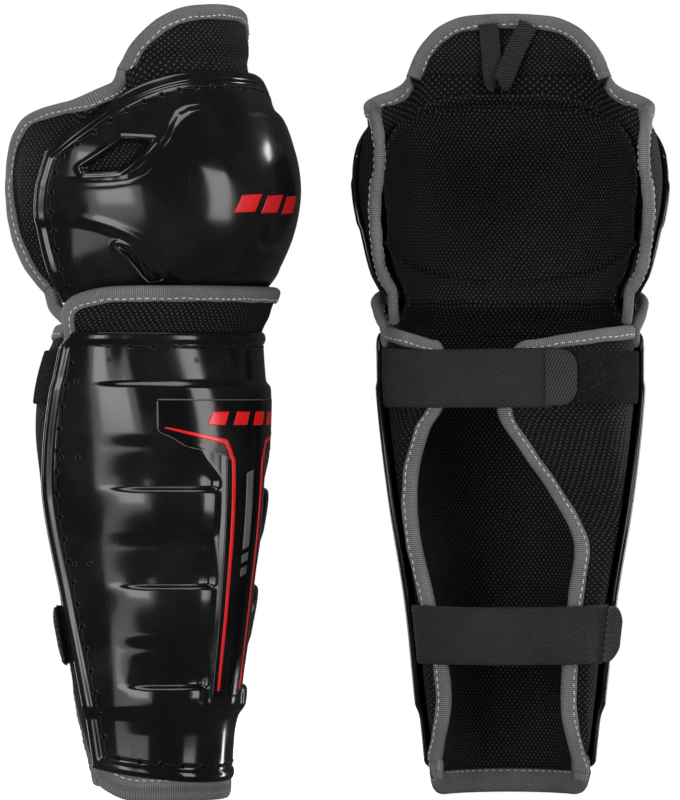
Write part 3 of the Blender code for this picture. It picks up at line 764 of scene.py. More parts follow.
SIDE_CLOTH = Finish("side_mesh", "mesh_cloth", Effect.DOTS, (0.0040, 0.0033, 0.0037),
                    (0.078, 0.069, 0.074), (0.85, 0.65), pitch=3.6, bump=0.7, bump_mm=0.5, specular=0.12)
BINDING_GREY = Finish("grey_tape", "grey_binding", Effect.RIBS, (0.05, 0.05, 0.052),
                      (0.21, 0.21, 0.215), (0.85, 0.7), pitch=1.25, bump=0.8, bump_mm=0.3, specular=0.2)
STITCH_PALE = Finish("pale_thread", "grey_binding", Effect.SCUFFS, (0.42, 0.42, 0.42),
                     (0.58, 0.58, 0.58), (0.6, 0.7), bump=0.3, on_object=True)
ELASTIC_BLACK = Finish("woven_elastic", "elastic", Effect.RIBS, (0.003, 0.003, 0.0033),
                       (0.044, 0.044, 0.046), (0.85, 0.7), pitch=1.7, slant=0.6, bump=1.0, bump_mm=0.4,
                       specular=0.15)
TAB_WOVEN = Finish("woven_tab", "hook_tape", Effect.RIBS, (0.006, 0.006, 0.0065),
                   (0.056, 0.056, 0.059), (0.8, 0.65), pitch=1.9, slant=-0.5, bump=1.0, bump_mm=0.4,
                   specular=0.15)
PILE_BLACK = Finish("brushed_pile", "loop_pile", Effect.FUZZ, (0.001, 0.001, 0.001),
                    (0.016, 0.015, 0.016), (1.0, 0.95), pitch=0.9, bump=1.0, bump_mm=0.8, specular=0.08)
FOAM_DARK = Finish("dark_foam", "foam", Effect.SCUFFS, (0.02, 0.02, 0.021),
                   (0.04, 0.04, 0.042), (0.9, 1.0), bump=0.4, on_object=True)
SEAM_BLACK = Finish("black_seam", "mesh_cloth", Effect.SCUFFS, (0.004, 0.004, 0.004),
                    (0.012, 0.012, 0.012), (0.7, 0.8), bump=0.2, on_object=True)
SEWING = (("thread", THREAD_BLACK), ("hole_lips", SHELL_BLACK), ("holes", HOLE_BLACK))


# ---------------------------------------------------------------- forms shared with the frame


@dataclass(frozen=True)
class ShellForm:
    """A shell's plan at each height: half ellipses between two rims."""

    width: Stations
    depth: Stations
    rim: Stations

    def at(self, turn: Array, height: Array, inset: Array | float) -> Array:
        """Points at a turn and height, inside the outer face by the inset."""
        angle = np.radians(turn)
        rim = smooth(self.rim, height)
        x = (smooth(self.width, height) - inset) * np.sin(angle)
        y = rim - (rim + smooth(self.depth, height) - inset) * np.cos(angle)
        return np.stack(np.broadcast_arrays(x, y, height), axis=-1)

    def reach(self, height: Array) -> Array:
        """How far the front stands ahead of the rims."""
        return smooth(self.rim, height) + smooth(self.depth, height)

    def girth(self, turn: Array, height: Array) -> Array:
        """Millimetres round the front from turn 0, by the ellipse's length at mid turn."""
        width = smooth(self.width, height)
        half = np.radians(np.asarray(turn, float)) / 2
        return 2 * half * np.sqrt((width * np.cos(half)) ** 2 + (self.reach(height) * np.sin(half)) ** 2)

    def pattern(self, turn: Array, height: Array) -> Array:
        """Pattern coordinates of a sheet that follows the form: the way round it and the height."""
        return np.stack([self.girth(turn, height), height], axis=-1)


SHIN = ShellForm(
    width=((0, 51.5), (31, 54), (58, 57), (119, 63.5), (179, 73), (239, 80), (269, 81), (290, 81)),
    depth=((0, 59), (40, 62), (58, 65), (90, 69.5), (119, 73.5), (179, 80), (235, 80.5), (269, 75),
           (290, 73)),
    rim=((0, -4), (31, 0), (58, 3), (119, 13), (179, 20), (209, 17.5), (239, 11), (269, 3), (290, -2)),
)
KNEE = ShellForm(
    width=((296, 75), (305, 79), (316, 84.5), (338, 90), (360, 94.5), (380, 95), (402, 91), (436, 82)),
    depth=((296, 67), (305, 74), (316, 83), (338, 95), (360, 99), (380, 96), (402, 87), (436, 68)),
    rim=((296, 3), (316, 8), (338, 11), (352, 11), (370, 7), (390, 1), (436, -4)),
)
FLAP = ShellForm(
    width=((268, 75.2), (281, 75.2), (293, 80), (308, 85)),
    depth=((268, 68.5), (281, 67.8), (293, 74), (308, 80.5)),
    rim=((268, 2), (308, 2)),
)


@dataclass
class Maker:
    """Puts finished shapes into the scene for one guard."""

    place: Place
    materials: dict[str, bpy.types.Material]

    def piece(self, name: str, shape: Shape, finish: Finish, body: str, replaces: tuple[str, ...] = (),
              pad: float | None = None, blend: Blend | None = None) -> bpy.types.Object:
        """Adds a piece and says what it rides on and stands for.

        Args:
            name: the piece's name without the guard's.
            shape: its geometry in the guard's frame.
            finish: its surface.
            body: the body that it rides on, without the guard's name.
            replaces: nodes that it stands for.
            pad: how full a padded piece is, 0 to 1.
            blend: two bodies and the heights in mm at which the piece leaves one and joins the other.

        Returns:
            The new object.
        """
        mesh = bpy.data.meshes.new(f"{self.place.name}_{name}")
        points = self.place.world(shape.points)
        loops = [face[:3] if face[2] == face[3] else face for face in shape.faces.tolist()]
        mesh.from_pydata(points.tolist(), [], loops)
        layer = mesh.uv_layers.new(name="pattern")
        index = np.empty(len(mesh.loops), dtype=np.int32)
        mesh.loops.foreach_get("vertex_index", index)
        layer.data.foreach_set("uv", shape.pattern[index].astype(np.float32).ravel())
        mesh.polygons.foreach_set("use_smooth", np.ones(len(mesh.polygons), dtype=bool))
        mesh.materials.append(self.materials[finish.name])
        mesh.update()
        item = bpy.data.objects.new(mesh.name, mesh)
        bpy.context.scene.collection.objects.link(item)
        guard = self.place.name
        if blend:
            first, second, low, high = blend
            centre = [self.place.x * MM, self.place.y * MM]
            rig.blend(item, f"{guard}_{first}", f"{guard}_{second}",
                     start=(*centre, low * MM), end=(*centre, high * MM))
        else:
            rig.ride(item, f"{guard}_{body}")
        if replaces:
            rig.replaces(item, *(f"{guard}_{node}" for node in replaces))
        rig.slot(item, finish.slot)
        if pad is not None:
            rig.padded(item, fill=pad)
        LOG.info("%s: %d faces", item.name, len(loops))
        return item


def tape_section(width: float, thick: float) -> Array:
    """A folded tape's section: round over the edge at w = 0, flat legs that thin out towards w = width."""
    t = np.linspace(-math.pi / 2, math.pi / 2, 9)
    nose = np.stack([thick / 2 * (1 - np.cos(t)) * 0.9, thick / 2 * np.sin(t)], axis=1)
    legs = np.array([[0.35, 1.04], [0.62, 1.06], [0.86, 1.0], [0.97, 0.86], [1.0, 0.4]])
    top = legs * [width, thick / 2]
    return np.vstack([nose, top, top[::-1] * [1, -1]])


@dataclass
class Binding:
    """Grey tape folded over a cloth edge and sewn down near its inner side."""

    width: float = 9.2
    thick: float = 6.4
    stitch: float = 3.0
    gap: float = 1.5
    thread: float = 0.34
    thread_rise: float = 0.05

    def row(self, line: Array, normal: Array) -> Shape:
        """A row of the tape's stitches along a line."""
        return dashes(line, normal, self.stitch, self.gap, self.thread, self.thread_rise)

    def make(self, maker: Maker, name: str, edge: Array, inward: Array, normal: Array, body: str,
             replaces: tuple[str, ...], seed: int,
             blend: Blend | None = None) -> None:
        """Sews the tape along an edge.

        Args:
            maker: where the pieces go.
            name: the piece's name.
            edge: points along the cloth's outer edge.
            inward: directions from the edge into the cloth.
            normal: directions square to the cloth.
            body: the body it rides on.
            replaces: nodes it stands for.
            seed: the waver's seed.
            blend: as for a piece.
        """
        length = lengths_along(edge)
        section = np.repeat(tape_section(self.width, self.thick)[None], len(edge), axis=0)
        swell = 1 + wobble(length, seed, 0.05, 37)
        section[..., 1] *= swell[:, None]
        section[..., 0] += (section[..., 0] / self.width) * wobble(length, seed + 1, 0.2, 61)[:, None]
        inward, normal = unit(inward), unit(normal)
        maker.piece(name, swept(edge, inward, normal, section), BINDING_GREY, body, replaces, blend=blend)
        line = edge + inward * (self.width - 2.3 + wobble(length, seed + 2, 0.2, 53))[:, None]
        rise = self.thick / 2 * 1.04 * swell[:, None]
        rows = together(self.row(line + normal * face * rise, normal * face) for face in (1, -1))
        maker.piece(f"{name}_stitches", rows, STITCH_PALE, body, blend=blend)


def edge_frames(edge: Array, inner: Array) -> tuple[Array, Array]:
    """Inward directions from an edge to a line inside it, and the normals square to both."""
    inward = unit(inner - edge)
    run = unit(np.gradient(edge, axis=0))
    return inward, unit(np.cross(run, inward))


# ---------------------------------------------------------------- shells


def stitch_row(surface: Surface, turns: Array, heights: Array,
               pitch: float) -> tuple[Array, Array]:
    """Holes evenly spaced along a line on a shell.

    Args:
        surface: gives points for a turn, a height and a rise.
        turns: the line's turns.
        heights: the line's heights.
        pitch: the distance between holes.

    Returns:
        The holes' turns and heights.
    """
    length = lengths_along(surface(turns, heights, 0.0))
    at = np.linspace(0, length[-1], max(int(length[-1] / pitch), 2) + 1)
    return np.interp(at, length, turns), np.interp(at, length, heights)


def surface_normals(surface: Surface, turns: Array, heights: Array) -> Array:
    """Outward normals of a shell at given turns and heights, from small steps both ways."""
    right = surface(turns + 0.4, heights, 0.0) - surface(turns - 0.4, heights, 0.0)
    up = surface(turns, heights + 0.5, 0.0) - surface(turns, heights - 0.5, 0.0)
    return unit(np.cross(right, up))


def sewn_thread(surface: Surface, turns: Array, heights: Array, pitch: float,
                radius: float) -> tuple[Shape, Shape, Shape]:
    """A row of punched holes with the thread that runs over the shell from each to the next.

    The thread rises 1.1 of its radius less 1.5 cos^16 along each span, so that it dives at the holes, and
    it sways by a sine to each side of the line.

    Returns:
        The thread, the holes' lips and their dark floors, which are near-black discs of painted shade.
    """
    hole_turns, hole_heights = stitch_row(surface, turns, heights, pitch)
    spans = len(hole_turns) - 1
    at = np.linspace(0, spans, spans * 10 + 1)
    rise = radius * 1.1 - 1.5 * np.cos(np.pi * at) ** 16
    t = np.interp(at, np.arange(spans + 1), hole_turns)
    h = np.interp(at, np.arange(spans + 1), hole_heights) + 0.35 * np.sin(2 * np.pi * at)
    out = surface_normals(surface, t, h)
    path = surface(t, h, 0.0) + out * rise[:, None]
    thread = swept(path, *frames_along(path, out), round_section(radius, TUBE_SIDES))
    centres = surface(hole_turns, hole_heights, 0.0)
    normals = surface_normals(surface, hole_turns, hole_heights)
    return thread, rings_at(centres, normals, 1.75, 0.34, 0.08), discs_at(centres, normals, 1.7, 0.12)


def ribbon(surface: Surface, turns: Array, heights: Array, width: tuple[float, float], rise: float) -> Shape:
    """A thin printed line on a shell, widened square to itself from its first width to its last."""
    line = spread(np.stack([turns, heights], axis=1), 90)
    run = unit(np.gradient(line * [MM_PER_TURN, 1], axis=0))
    across = np.stack([-run[:, 1] / MM_PER_TURN, run[:, 0]], axis=1)
    reach = np.linspace(*width, len(line))[:, None, None] / 2 * np.linspace(-1, 1, 5)[:, None]
    spots = line[:, None] + across[:, None] * reach
    half = np.full(spots.shape[:2], PRINT_THICK / 2)
    return pillow(surface(spots[..., 0], spots[..., 1], rise), half, spots)


def patch(surface: Surface, corners: Stations, rise: float, columns: int = 24, rows: int = 12) -> Shape:
    """A printed patch on a shell, spread bilinearly between four corners given as (turn, height)."""
    across, up = (share[..., None] for share in mesh_grid(columns, rows))
    a, b, c, d = np.array(corners, float)
    spots = (a * (1 - across) + b * across) * (1 - up) + (c * across + d * (1 - across)) * up
    half = np.full((rows, columns), PRINT_THICK / 2)
    return pillow(surface(spots[..., 0], spots[..., 1], rise), half, spots)


@dataclass
class Shell:
    """A moulded shell: a closed sheet whose outer face follows its form with a relief on it."""

    form: ClassVar[ShellForm]
    body: ClassVar[str]
    wall: float = 2.5
    skin: float = 0.5
    bead: float = 1.3
    thread: float = 0.42
    stitch_pitch: float = 12.8

    def relief(self, turn: Array, height: Array) -> Array:
        """How far the moulded face stands out from the plain form."""
        raise NotImplementedError

    def surface(self, turn: Array, height: Array, rise: Array | float) -> Array:
        """Points on the moulded face, a rise above it, kept inside the plain form's skin."""
        return self.form.at(turn, height, self.skin - self.relief(turn, height) - rise)

    def walls(self, turn: Array, height: Array) -> tuple[Array, Array]:
        """The moulded face and the smoother one inside the wall, which has half the relief."""
        relief = self.relief(turn, height)
        outer = self.form.at(turn, height, self.skin - relief)
        return outer, self.form.at(turn, height, self.skin + self.wall - 0.5 * relief)

    def sew_rows(self, maker: Maker, rows: list[tuple[Array, Array]]) -> None:
        """Sews rows given as turns and heights, and adds their thread, lips and holes as three pieces; the holes are
        near-black discs of painted shade.
        """
        parts = (sewn_thread(self.surface, *row, self.stitch_pitch, self.thread) for row in rows)
        for (label, finish), shapes in zip(SEWING, zip(*parts)):
            maker.piece(f"{self.body}_{label}", together(shapes), finish, self.body)


@dataclass
class ShinShell(Shell):
    """The moulded shin shell, its holes and thread, and the film printed on its front."""

    form: ClassVar[ShellForm] = SHIN
    body: ClassVar[str] = "shin"
    top: float = 280.0
    corner_drop: float = 11.0
    foot: float = 11.0
    foot_rise: float = 9.0
    band: float = 2.6
    recess: float = 3.9
    bulge: float = 1.3
    recesses: tuple[tuple[float, float], ...] = ((187, 217), (129, 158), (69, 97))
    recess_front: float = 18.5
    recess_back: float = 61.0
    cuff: float = 3.0
    bead_width: float = 7.0
    stitch_inset: float = 11.5
    film_foot: float = 62.0
    film_top: float = 240.0
    print_rise: float = 0.3
    columns: int = 190
    rows: int = 240
    rings: tuple[tuple[float, float], ...] = ((64.6, 263), (25.4, 263), (78, 250), (81.5, 205), (75, 205),
                                              (80.5, 142), (74, 142))

    def top_at(self, turn: Array) -> Array:
        """Height of the top edge, rounded down at its corners."""
        return self.top - self.corner_drop * np.clip((np.abs(turn) - 81) / 9, 0, 1) ** 2.2

    def foot_at(self, turn: Array) -> Array:
        """Height of the foot edge, which rises with the square of the turn."""
        return self.foot + self.foot_rise * (turn / 90) ** 2

    def edge_distance(self, turn: Array, height: Array) -> Array:
        """Distance from the shell's outline: the least of those to its top, foot and rims."""
        rim = np.radians(90 - np.abs(turn)) * SHIN.reach(height)
        return np.minimum(np.minimum(self.top_at(turn) - height, height - self.foot_at(turn)), rim)

    def relief(self, turn: Array, height: Array) -> Array:
        """How far the moulded face stands out from the plain form.

        The band above the upper step, the cuff below the lower one and three recesses on each side lie
        in; the bead along the outline stands out, with a groove beside it.
        """
        size = np.abs(turn)
        fade = 1 - step(size, 58, 72)
        face = -self.band * step(height, 246.5, 251.5) * (0.35 + 0.65 * fade)
        face = face - self.cuff * (1 - step(height, 49, 57)) * (0.6 + 0.4 * fade)
        for low, high in self.recesses:
            slant = np.clip(height - (low + 5), 0, None) * (0.62 if low > 180 else 0.12)
            front = step(size, self.recess_front - 1.2 + slant, self.recess_front + 2.2 + slant)
            back = 1 - step(size, self.recess_back - 12, self.recess_back + 8)
            shelf = step(height, low - 1.5, low + 1.3) * (1 - 0.62 * step(height, low + 4, high - 6))
            shelf = shelf * (1 - step(height, high - 6, high + 3))
            face = face - self.recess * front * back * shelf
            below = np.clip((low - 1.5 - height) / 27, 0, 1)
            face = face + self.bulge * np.sin(np.pi * below ** 0.5) * front * back
        panel = (1 - step(height, 208, 216)) * step(height, 57, 62)
        face = face - 0.45 * step(size, 15.3, 16.6) * panel * (1 - step(size, 20, 26))
        distance = self.edge_distance(turn, height)
        roll = np.sin(np.pi * np.clip(distance / self.bead_width, 0, 1)) ** 0.7
        groove = np.exp(-((distance - self.bead_width - 1.2) / 1.1) ** 2)
        return face + self.bead * roll - 0.6 * groove

    def make(self, maker: Maker) -> None:
        """Builds the shell, its sewing, its small rings and the film printed on its front."""
        across, up = mesh_grid(self.columns, self.rows)
        turn = 180 * (across - 0.5)
        height = self.foot_at(turn) + (self.top_at(turn) - self.foot_at(turn)) * up
        shape = sheet_between(*self.walls(turn, height), SHIN.pattern(turn, height))
        maker.piece("shin_shell_moulding", shape, SHELL_BLACK, "shin", ("shin_shell",))
        self.sew(maker)
        self.stamp_rings(maker)
        self.print_film(maker)

    def sew(self, maker: Maker) -> None:
        """Punches and sews the row of holes along the rims, the top and the foot."""
        heights = np.linspace(self.foot + self.foot_rise + 6, self.top - self.corner_drop - 8, 60)
        rim_turns = 90 - np.degrees(self.stitch_inset / SHIN.reach(heights))
        top_turns = np.linspace(-76, 76, 80)
        foot_turns = np.linspace(-72, 72, 60)
        self.sew_rows(maker, [
            (rim_turns, heights),
            (-rim_turns, heights),
            (top_turns, self.top_at(top_turns) - self.stitch_inset + 3),
            (foot_turns, self.foot_at(foot_turns) + self.stitch_inset - 2),
        ])

    def stamp_rings(self, maker: Maker) -> None:
        """Adds the small moulded rings on both sides, each with a near-black pip of painted shade in its middle."""
        both = [(sign * turn, height) for turn, height in self.rings for sign in (-1, 1)]
        turns, heights = np.array(both, float).T
        centres = self.surface(turns, heights, 0.0)
        normals = surface_normals(self.surface, turns, heights)
        maker.piece("shin_vent_rings", rings_at(centres, normals, 1.5, 0.35, 0.05), SHELL_BLACK, "shin")
        # The pips are painted shade: near-black discs that stand in for the dark middle of each ring.
        maker.piece("shin_vent_pips", discs_at(centres, normals, 0.7, 0.12), HOLE_BLACK, "shin")

    def film_reach(self, height: Array) -> Array:
        """Turn at which the film ends: narrow down the front, wide above the red lines' elbows."""
        return 15 + 21.5 * step(height, 205, 214) + 9 * step(height, 214, 222)

    def print_film(self, maker: Maker) -> None:
        """Lays the black film with its red lines, grey outline and plain bars."""
        across, up = mesh_grid(90, 130)
        height = self.film_foot + (self.film_top - self.film_foot) * up
        turn = (2 * across - 1) * self.film_reach(height)
        grid = self.surface(turn, height, PRINT_THICK)
        film = pillow(grid, np.full(across.shape, PRINT_THICK / 2), SHIN.pattern(turn, height))
        maker.piece("front_film", film, FILM_BLACK, "shin", ("shin_graphic_film",))
        red, grey = [], []
        edge = np.linspace(self.film_foot + 2, self.film_top - 2, 60)
        for sign in (-1, 1):
            elbow = np.array([(42.0, 223.0), (28.0, 218.5), (15.0, 214.5)]) * [sign, 1]
            drop = np.array([(15.2, 215), (12.4, 206), (10.8, 190), (10.6, 66)]) * [sign, 1]
            red.append(ribbon(self.surface, *elbow.T, (0.9, 3.2), self.print_rise))
            red.append(ribbon(self.surface, *drop.T, (3.0, 3.0), self.print_rise))
            side = sign * (self.film_reach(edge) - 0.4)
            grey.append(ribbon(self.surface, side, edge, (0.45, 0.45), self.print_rise))
        across_top = np.linspace(-44, 44, 20)
        grey.append(ribbon(self.surface, across_top, np.full(20, self.film_top - 0.5), (0.45, 0.45),
                           self.print_rise))
        maker.piece("front_red_lines", together(red), FILM_RED, "shin")
        maker.piece("front_outline", together(grey), FILM_GREY, "shin")
        self.print_bars(maker)

    def print_bars(self, maker: Maker) -> None:
        """Prints plain slanted red bars and plain upright grey ones."""
        slanted = [((x, 224.5), (x + 8.5, 224.5), (x + 11.0, 232.5), (x + 2.5, 232.5))
                   for x in (-24.0, -11.0, 2.0, 15.0)]
        upright = [((-2.6, low), (2.6, low + 2), (2.6, high + 2), (-2.6, high))
                   for low, high in ((150.0, 196.0), (142.0, 147.0), (134.0, 139.0))]
        red = together(patch(self.surface, corners, self.print_rise) for corners in slanted)
        maker.piece("front_red_bars", red, FILM_RED, "shin")
        grey = together(patch(self.surface, corners, self.print_rise, 8, 30) for corners in upright)
        maker.piece("front_grey_bars", grey, FILM_GREY, "shin")


@dataclass
class KneeCap(Shell):
    """The moulded knee cap with its swept step, vents, rim band, holes and thread."""

    form: ClassVar[ShellForm] = KNEE
    body: ClassVar[str] = "knee"
    foot: float = 297.0
    top: float = 436.0
    top_fall: float = 50.0
    top_power: float = 2.8
    step_height: float = 2.9
    vent_depth: float = 4.6
    vent_wall: float = 1.2
    bead_width: float = 5.5
    per_turn: float = 1.55
    columns: int = 220
    rows: int = 185
    stitch_inset: float = 10.0
    stitch_pitch: float = 11.5
    dome: tuple[tuple[float, float], ...] = (
        (-95, 370), (-57, 371), (-44, 392), (-29, 412), (29, 412), (44, 392), (57, 371), (95, 370),
        (95, 346), (71, 343), (52, 329), (31, 303), (30, 290), (-30, 290), (-31, 303), (-52, 329), (-71, 343),
        (-95, 346))
    vents: tuple[tuple[tuple[float, float], ...], ...] = (
        ((74, 377), (60, 393), (49, 392), (57.5, 378), (60.5, 374.5), (73, 374)),
        ((61, 331), (55.5, 327.5), (42.5, 311), (47, 309.5), (50, 313)),
    )

    def top_at(self, turn: Array) -> Array:
        """Height of the top edge, which falls towards the rims."""
        return self.top - self.top_fall * (np.abs(turn) / 90) ** self.top_power

    def outline_distance(self, corners: Stations | Array, turn: Array, height: Array) -> Array:
        """Signed distance to an outline of turns and heights, laid flat by the cap's size per turn."""
        return polygon_distance(turn * self.per_turn, height, np.array(corners) * [self.per_turn, 1.0])

    def vent_distance(self, turn: Array, height: Array) -> Array:
        """Distance to the nearest vent's outline, negative inside it."""
        return np.min([self.outline_distance(vent, np.abs(turn), height) for vent in self.vents], axis=0)

    def top_slant(self, turn: Array) -> Array:
        """Length of the top edge for each millimetre across."""
        fall = self.top_fall * self.top_power / 90 * (np.abs(turn) / 90) ** (self.top_power - 1)
        return np.sqrt(1 + (fall / 1.5) ** 2)

    def edge_distance(self, turn: Array, height: Array) -> Array:
        """Distance from the cap's outline, measured square to its slanting top edge."""
        top = (self.top_at(turn) - height) / self.top_slant(turn)
        return np.minimum(top, np.radians(90 - np.abs(turn)) * KNEE.reach(height))

    def relief(self, turn: Array, height: Array) -> Array:
        """How far the moulded face stands out from the plain form.

        Outside the dome's outline the face lies in by the step's height; a lip runs round each vent,
        whose floor drops away; a flat band runs along the rim with a groove beside it.
        """
        scale = [self.per_turn, 1.0]
        dome = spread(np.array(self.dome + self.dome[:1], float) * scale, 90)[:-1] / scale
        away = self.outline_distance(dome, turn, height)
        soft = 0.25 + 0.75 * (1 - step(np.abs(turn), 68, 84))
        soft = soft * (1 - 0.6 * step(height, 384, 404) * (1 - step(np.abs(turn), 16, 42)))
        face = -self.step_height * step(away, -1.6, 2.6) * soft
        face = face + 0.5 * np.exp(-((away + 3.2) / 2.0) ** 2) * soft
        vent = self.vent_distance(turn, height)
        face = face + 1.1 * np.exp(-((vent - 1.7) / 1.3) ** 2)
        face = face - self.vent_depth * (1 - step(vent, -1.1, 0.5))
        distance = self.edge_distance(turn, height)
        band = step(distance, -0.6, 1.2) * (1 - step(distance, self.bead_width - 0.6, self.bead_width + 1.2))
        return face + self.bead * band - 0.45 * np.exp(-((distance - self.bead_width - 2.0) / 0.9) ** 2)

    def make(self, maker: Maker) -> None:
        """Builds the cap, its vents' cloth, its sewing and its printed bars."""
        across, up = mesh_grid(self.columns, self.rows)
        turn = 180 * (across - 0.5)
        height = self.foot + (self.top_at(turn) - self.foot) * up
        outer, inner = self.walls(turn, height)
        vents = (self.vent_distance(turn, height) < 1.0)[..., None]
        inner = np.where(vents, self.surface(turn, height, -self.vent_wall), inner)
        shape = sheet_between(outer, inner, KNEE.pattern(turn, height))
        maker.piece("knee_cap_moulding", shape, SHELL_BLACK, "knee", ("knee_cap",))
        self.fill_vents(maker)
        self.sew(maker)
        self.print_bars(maker)

    def fill_vents(self, maker: Maker) -> None:
        """Backs each vent with cloth: a sheet just over its floor that sinks at its sides."""
        cloth = []
        for corners in self.vents:
            low, high = np.min(corners, axis=0) - 0.8, np.max(corners, axis=0) + 0.8
            across, up = mesh_grid(44, 36)
            turn = low[0] + (high[0] - low[0]) * across
            height = low[1] + (high[1] - low[1]) * up
            rise = 0.9 - 2.4 * step(self.vent_distance(turn, height), -1.8, -0.2)
            cloth += [pillow(self.surface(sign * turn, height, rise), np.full(across.shape, 0.25),
                             KNEE.pattern(turn, height)) for sign in (-1, 1)]
        maker.piece("knee_vent_cloth", together(cloth), MESH_CLOTH, "knee")

    def sew(self, maker: Maker) -> None:
        """Punches and sews the row of holes that follows the cap's top and rims."""
        turn = 83.5 * np.sin(np.linspace(-1, 1, 200) * np.pi / 2)
        height = self.top_at(turn) - self.stitch_inset * self.top_slant(turn)
        rise = np.linspace(self.foot + 9, height[0], 60)[:-1]
        turns = np.concatenate([np.full(59, turn[0]), turn, np.full(59, turn[-1])])
        self.sew_rows(maker, [(turns, np.concatenate([rise, height, rise[::-1]]))])

    def print_bars(self, maker: Maker) -> None:
        """Prints three plain slanted bars on the front of the cap."""
        bars = together(
            patch(self.surface, ((x, 350.0), (x + 9.5, 351.0), (x + 12.7, 361.5), (x + 3.2, 360.5)), 0.25)
            for x in (-20.0, -7.5, 5.0))
        maker.piece("knee_red_bars", bars, FILM_RED, "knee")


# ---------------------------------------------------------------- soft pieces


@dataclass
class CalfWrap:
    """The two padded wings behind the calf, whose roots tuck inside the shell's rims."""

    reach: Stations = ((19, 13), (50, 23), (69, 23), (99, 20), (130, 15), (165, 12), (190, 18), (225, 33),
                       (255, 36), (287, 28))
    ends: dict[Side, Stations] = field(default_factory=lambda: {
        Side.TAB: ((19, -38), (55, -30), (122, -34), (155, -37), (186, -21), (209, -5), (233, 9), (275, 2)),
        Side.SEWN: ((19, 43), (63, 36), (119, 46), (160, 55), (193, 56), (222, 49), (236, 41), (275, 38)),
    })
    inset: float = 8.8
    tuck: float = 14.0
    top: float = 286.0
    top_fall: float = 14.0
    foot: float = 17.0
    thick: float = 5.4
    samples: int = 33

    def wrap(self, turn: Array, height: Array, rise: Array | float) -> Array:
        """Points on the wrap: turn is 0 at the -X rim, 90 at the back and 180 at the +X rim."""
        angle = np.radians(turn)
        x = -(smooth(SHIN.width, height) - self.inset + rise) * np.cos(angle)
        y = smooth(SHIN.rim, height) + (smooth(self.reach, height) + rise) * np.sin(angle)
        return np.stack(np.broadcast_arrays(x, y, height), axis=-1)

    def paths(self, side: Side, height: Array) -> tuple[Array, Array]:
        """Plans of a wing at several heights and their running lengths.

        Each plan runs from the root inside the rim, straight back to the rim and round the wrap to the
        wing's free edge.
        """
        width = smooth(SHIN.width, height) - self.inset
        end = smooth(self.ends[side], height)
        last = np.degrees(np.arccos(np.clip(side.sign * end / width, -1, 1)))
        share = np.linspace(0, 1, self.samples - 1)
        turn = last[..., None] * share
        arc = self.wrap(turn, height[..., None], 0.0)[..., :2]
        arc = arc * [-side.sign, 1]
        root = np.stack([side.sign * width, smooth(SHIN.rim, height) - self.tuck], axis=-1)[..., None, :]
        line = np.concatenate([root, arc], axis=-2)
        lengths = np.linalg.norm(np.diff(line, axis=-2), axis=-1)
        run = np.concatenate([np.zeros((*lengths.shape[:-1], 1)), np.cumsum(lengths, axis=-1)], axis=-1)
        return line, run

    def point(self, side: Side, from_edge: Array, height: Array) -> Array:
        """Points on a wing's middle surface, a distance in from its free edge."""
        from_edge, height = np.broadcast_arrays(np.asarray(from_edge, float), np.asarray(height, float))
        line, run = self.paths(side, height)
        target = np.clip(run[..., -1] - from_edge, 0, None)
        slot = np.clip(np.sum(run <= target[..., None], axis=-1) - 1, 0, self.samples - 2)
        low = np.take_along_axis(run, slot[..., None], -1)[..., 0]
        high = np.take_along_axis(run, slot[..., None] + 1, -1)[..., 0]
        t = ((target - low) / np.maximum(high - low, 1e-6))[..., None]
        a = np.take_along_axis(line, slot[..., None, None], -2)[..., 0, :]
        b = np.take_along_axis(line, slot[..., None, None] + 1, -2)[..., 0, :]
        xy = a + (b - a) * np.minimum(t, 1)
        return np.concatenate([xy, height[..., None]], axis=-1)

    def length(self, side: Side, height: Array) -> Array:
        """A wing's width round the calf at each height."""
        return self.paths(side, np.asarray(height, float))[1][..., -1]

    def slant(self, side: Side, height: Array) -> Array:
        """Length of the free edge for each unit of height."""
        rise = smooth(self.ends[side], height + 4) - smooth(self.ends[side], height - 4)
        return np.hypot(1, rise / 8)

    def top_at(self, share: Array) -> Array:
        """Height of the top edge at a share of the width from the root."""
        return self.top - self.top_fall * share ** 1.5

    def make(self, maker: Maker, binding: Binding) -> None:
        """Builds both wings and their bindings."""
        for number, side in enumerate(Side):
            label = side.label
            across, up = mesh_grid(60, 110)
            top = self.top_at(across) - 4.0 - 3 * across ** 6
            height = self.foot + (top - self.foot) * up
            margin = 4.5 * self.slant(side, height)
            width = self.length(side, height)
            from_edge = margin + (width - margin) * (1 - across)
            half = crowned(across, up, width, self.top - self.foot, self.thick, 5.0, TAPE_HOLD)
            half = half * (1 + 0.035 * np.sin(height / 9) * np.sin(from_edge / 11))
            pattern = np.stack([from_edge, height], axis=-1)
            shape = pillow(self.point(side, from_edge, height), half, pattern)
            maker.piece(f"calf_wing_pad_{label}", shape, SIDE_CLOTH, "shin", (f"calf_wing_{label}",), pad=0.4)
            self.bind(maker, binding, side, label, 40 + 10 * number)

    def bind(self, maker: Maker, binding: Binding, side: Side, label: str, seed: int) -> None:
        """Binds a wing's top and free edge in one run, turning the corner on a curve."""
        shares = np.linspace(0.16, 0.93, 9)
        top = self.top_at(shares)
        width = self.length(side, top)
        top_line = np.stack([width * (1 - shares), top], axis=1)
        low = self.foot - 2.5
        heights = np.linspace(self.top_at(np.array(1.0)) - 9, low, 26)
        side_line = np.stack([np.zeros(26), heights], axis=1)
        flat = spread(np.vstack([top_line, side_line]), 260)
        inner = inset_line(flat, 3.0)
        edge = self.point(side, np.maximum(flat[:, 0], 0.0), flat[:, 1])
        inside = self.point(side, np.maximum(inner[:, 0], 0.0), inner[:, 1])
        inward, normal = edge_frames(edge, inside)
        binding.make(maker, f"calf_wing_tape_{label}", edge, inward, normal, "shin",
                     (f"calf_wing_binding_{label}",), seed)


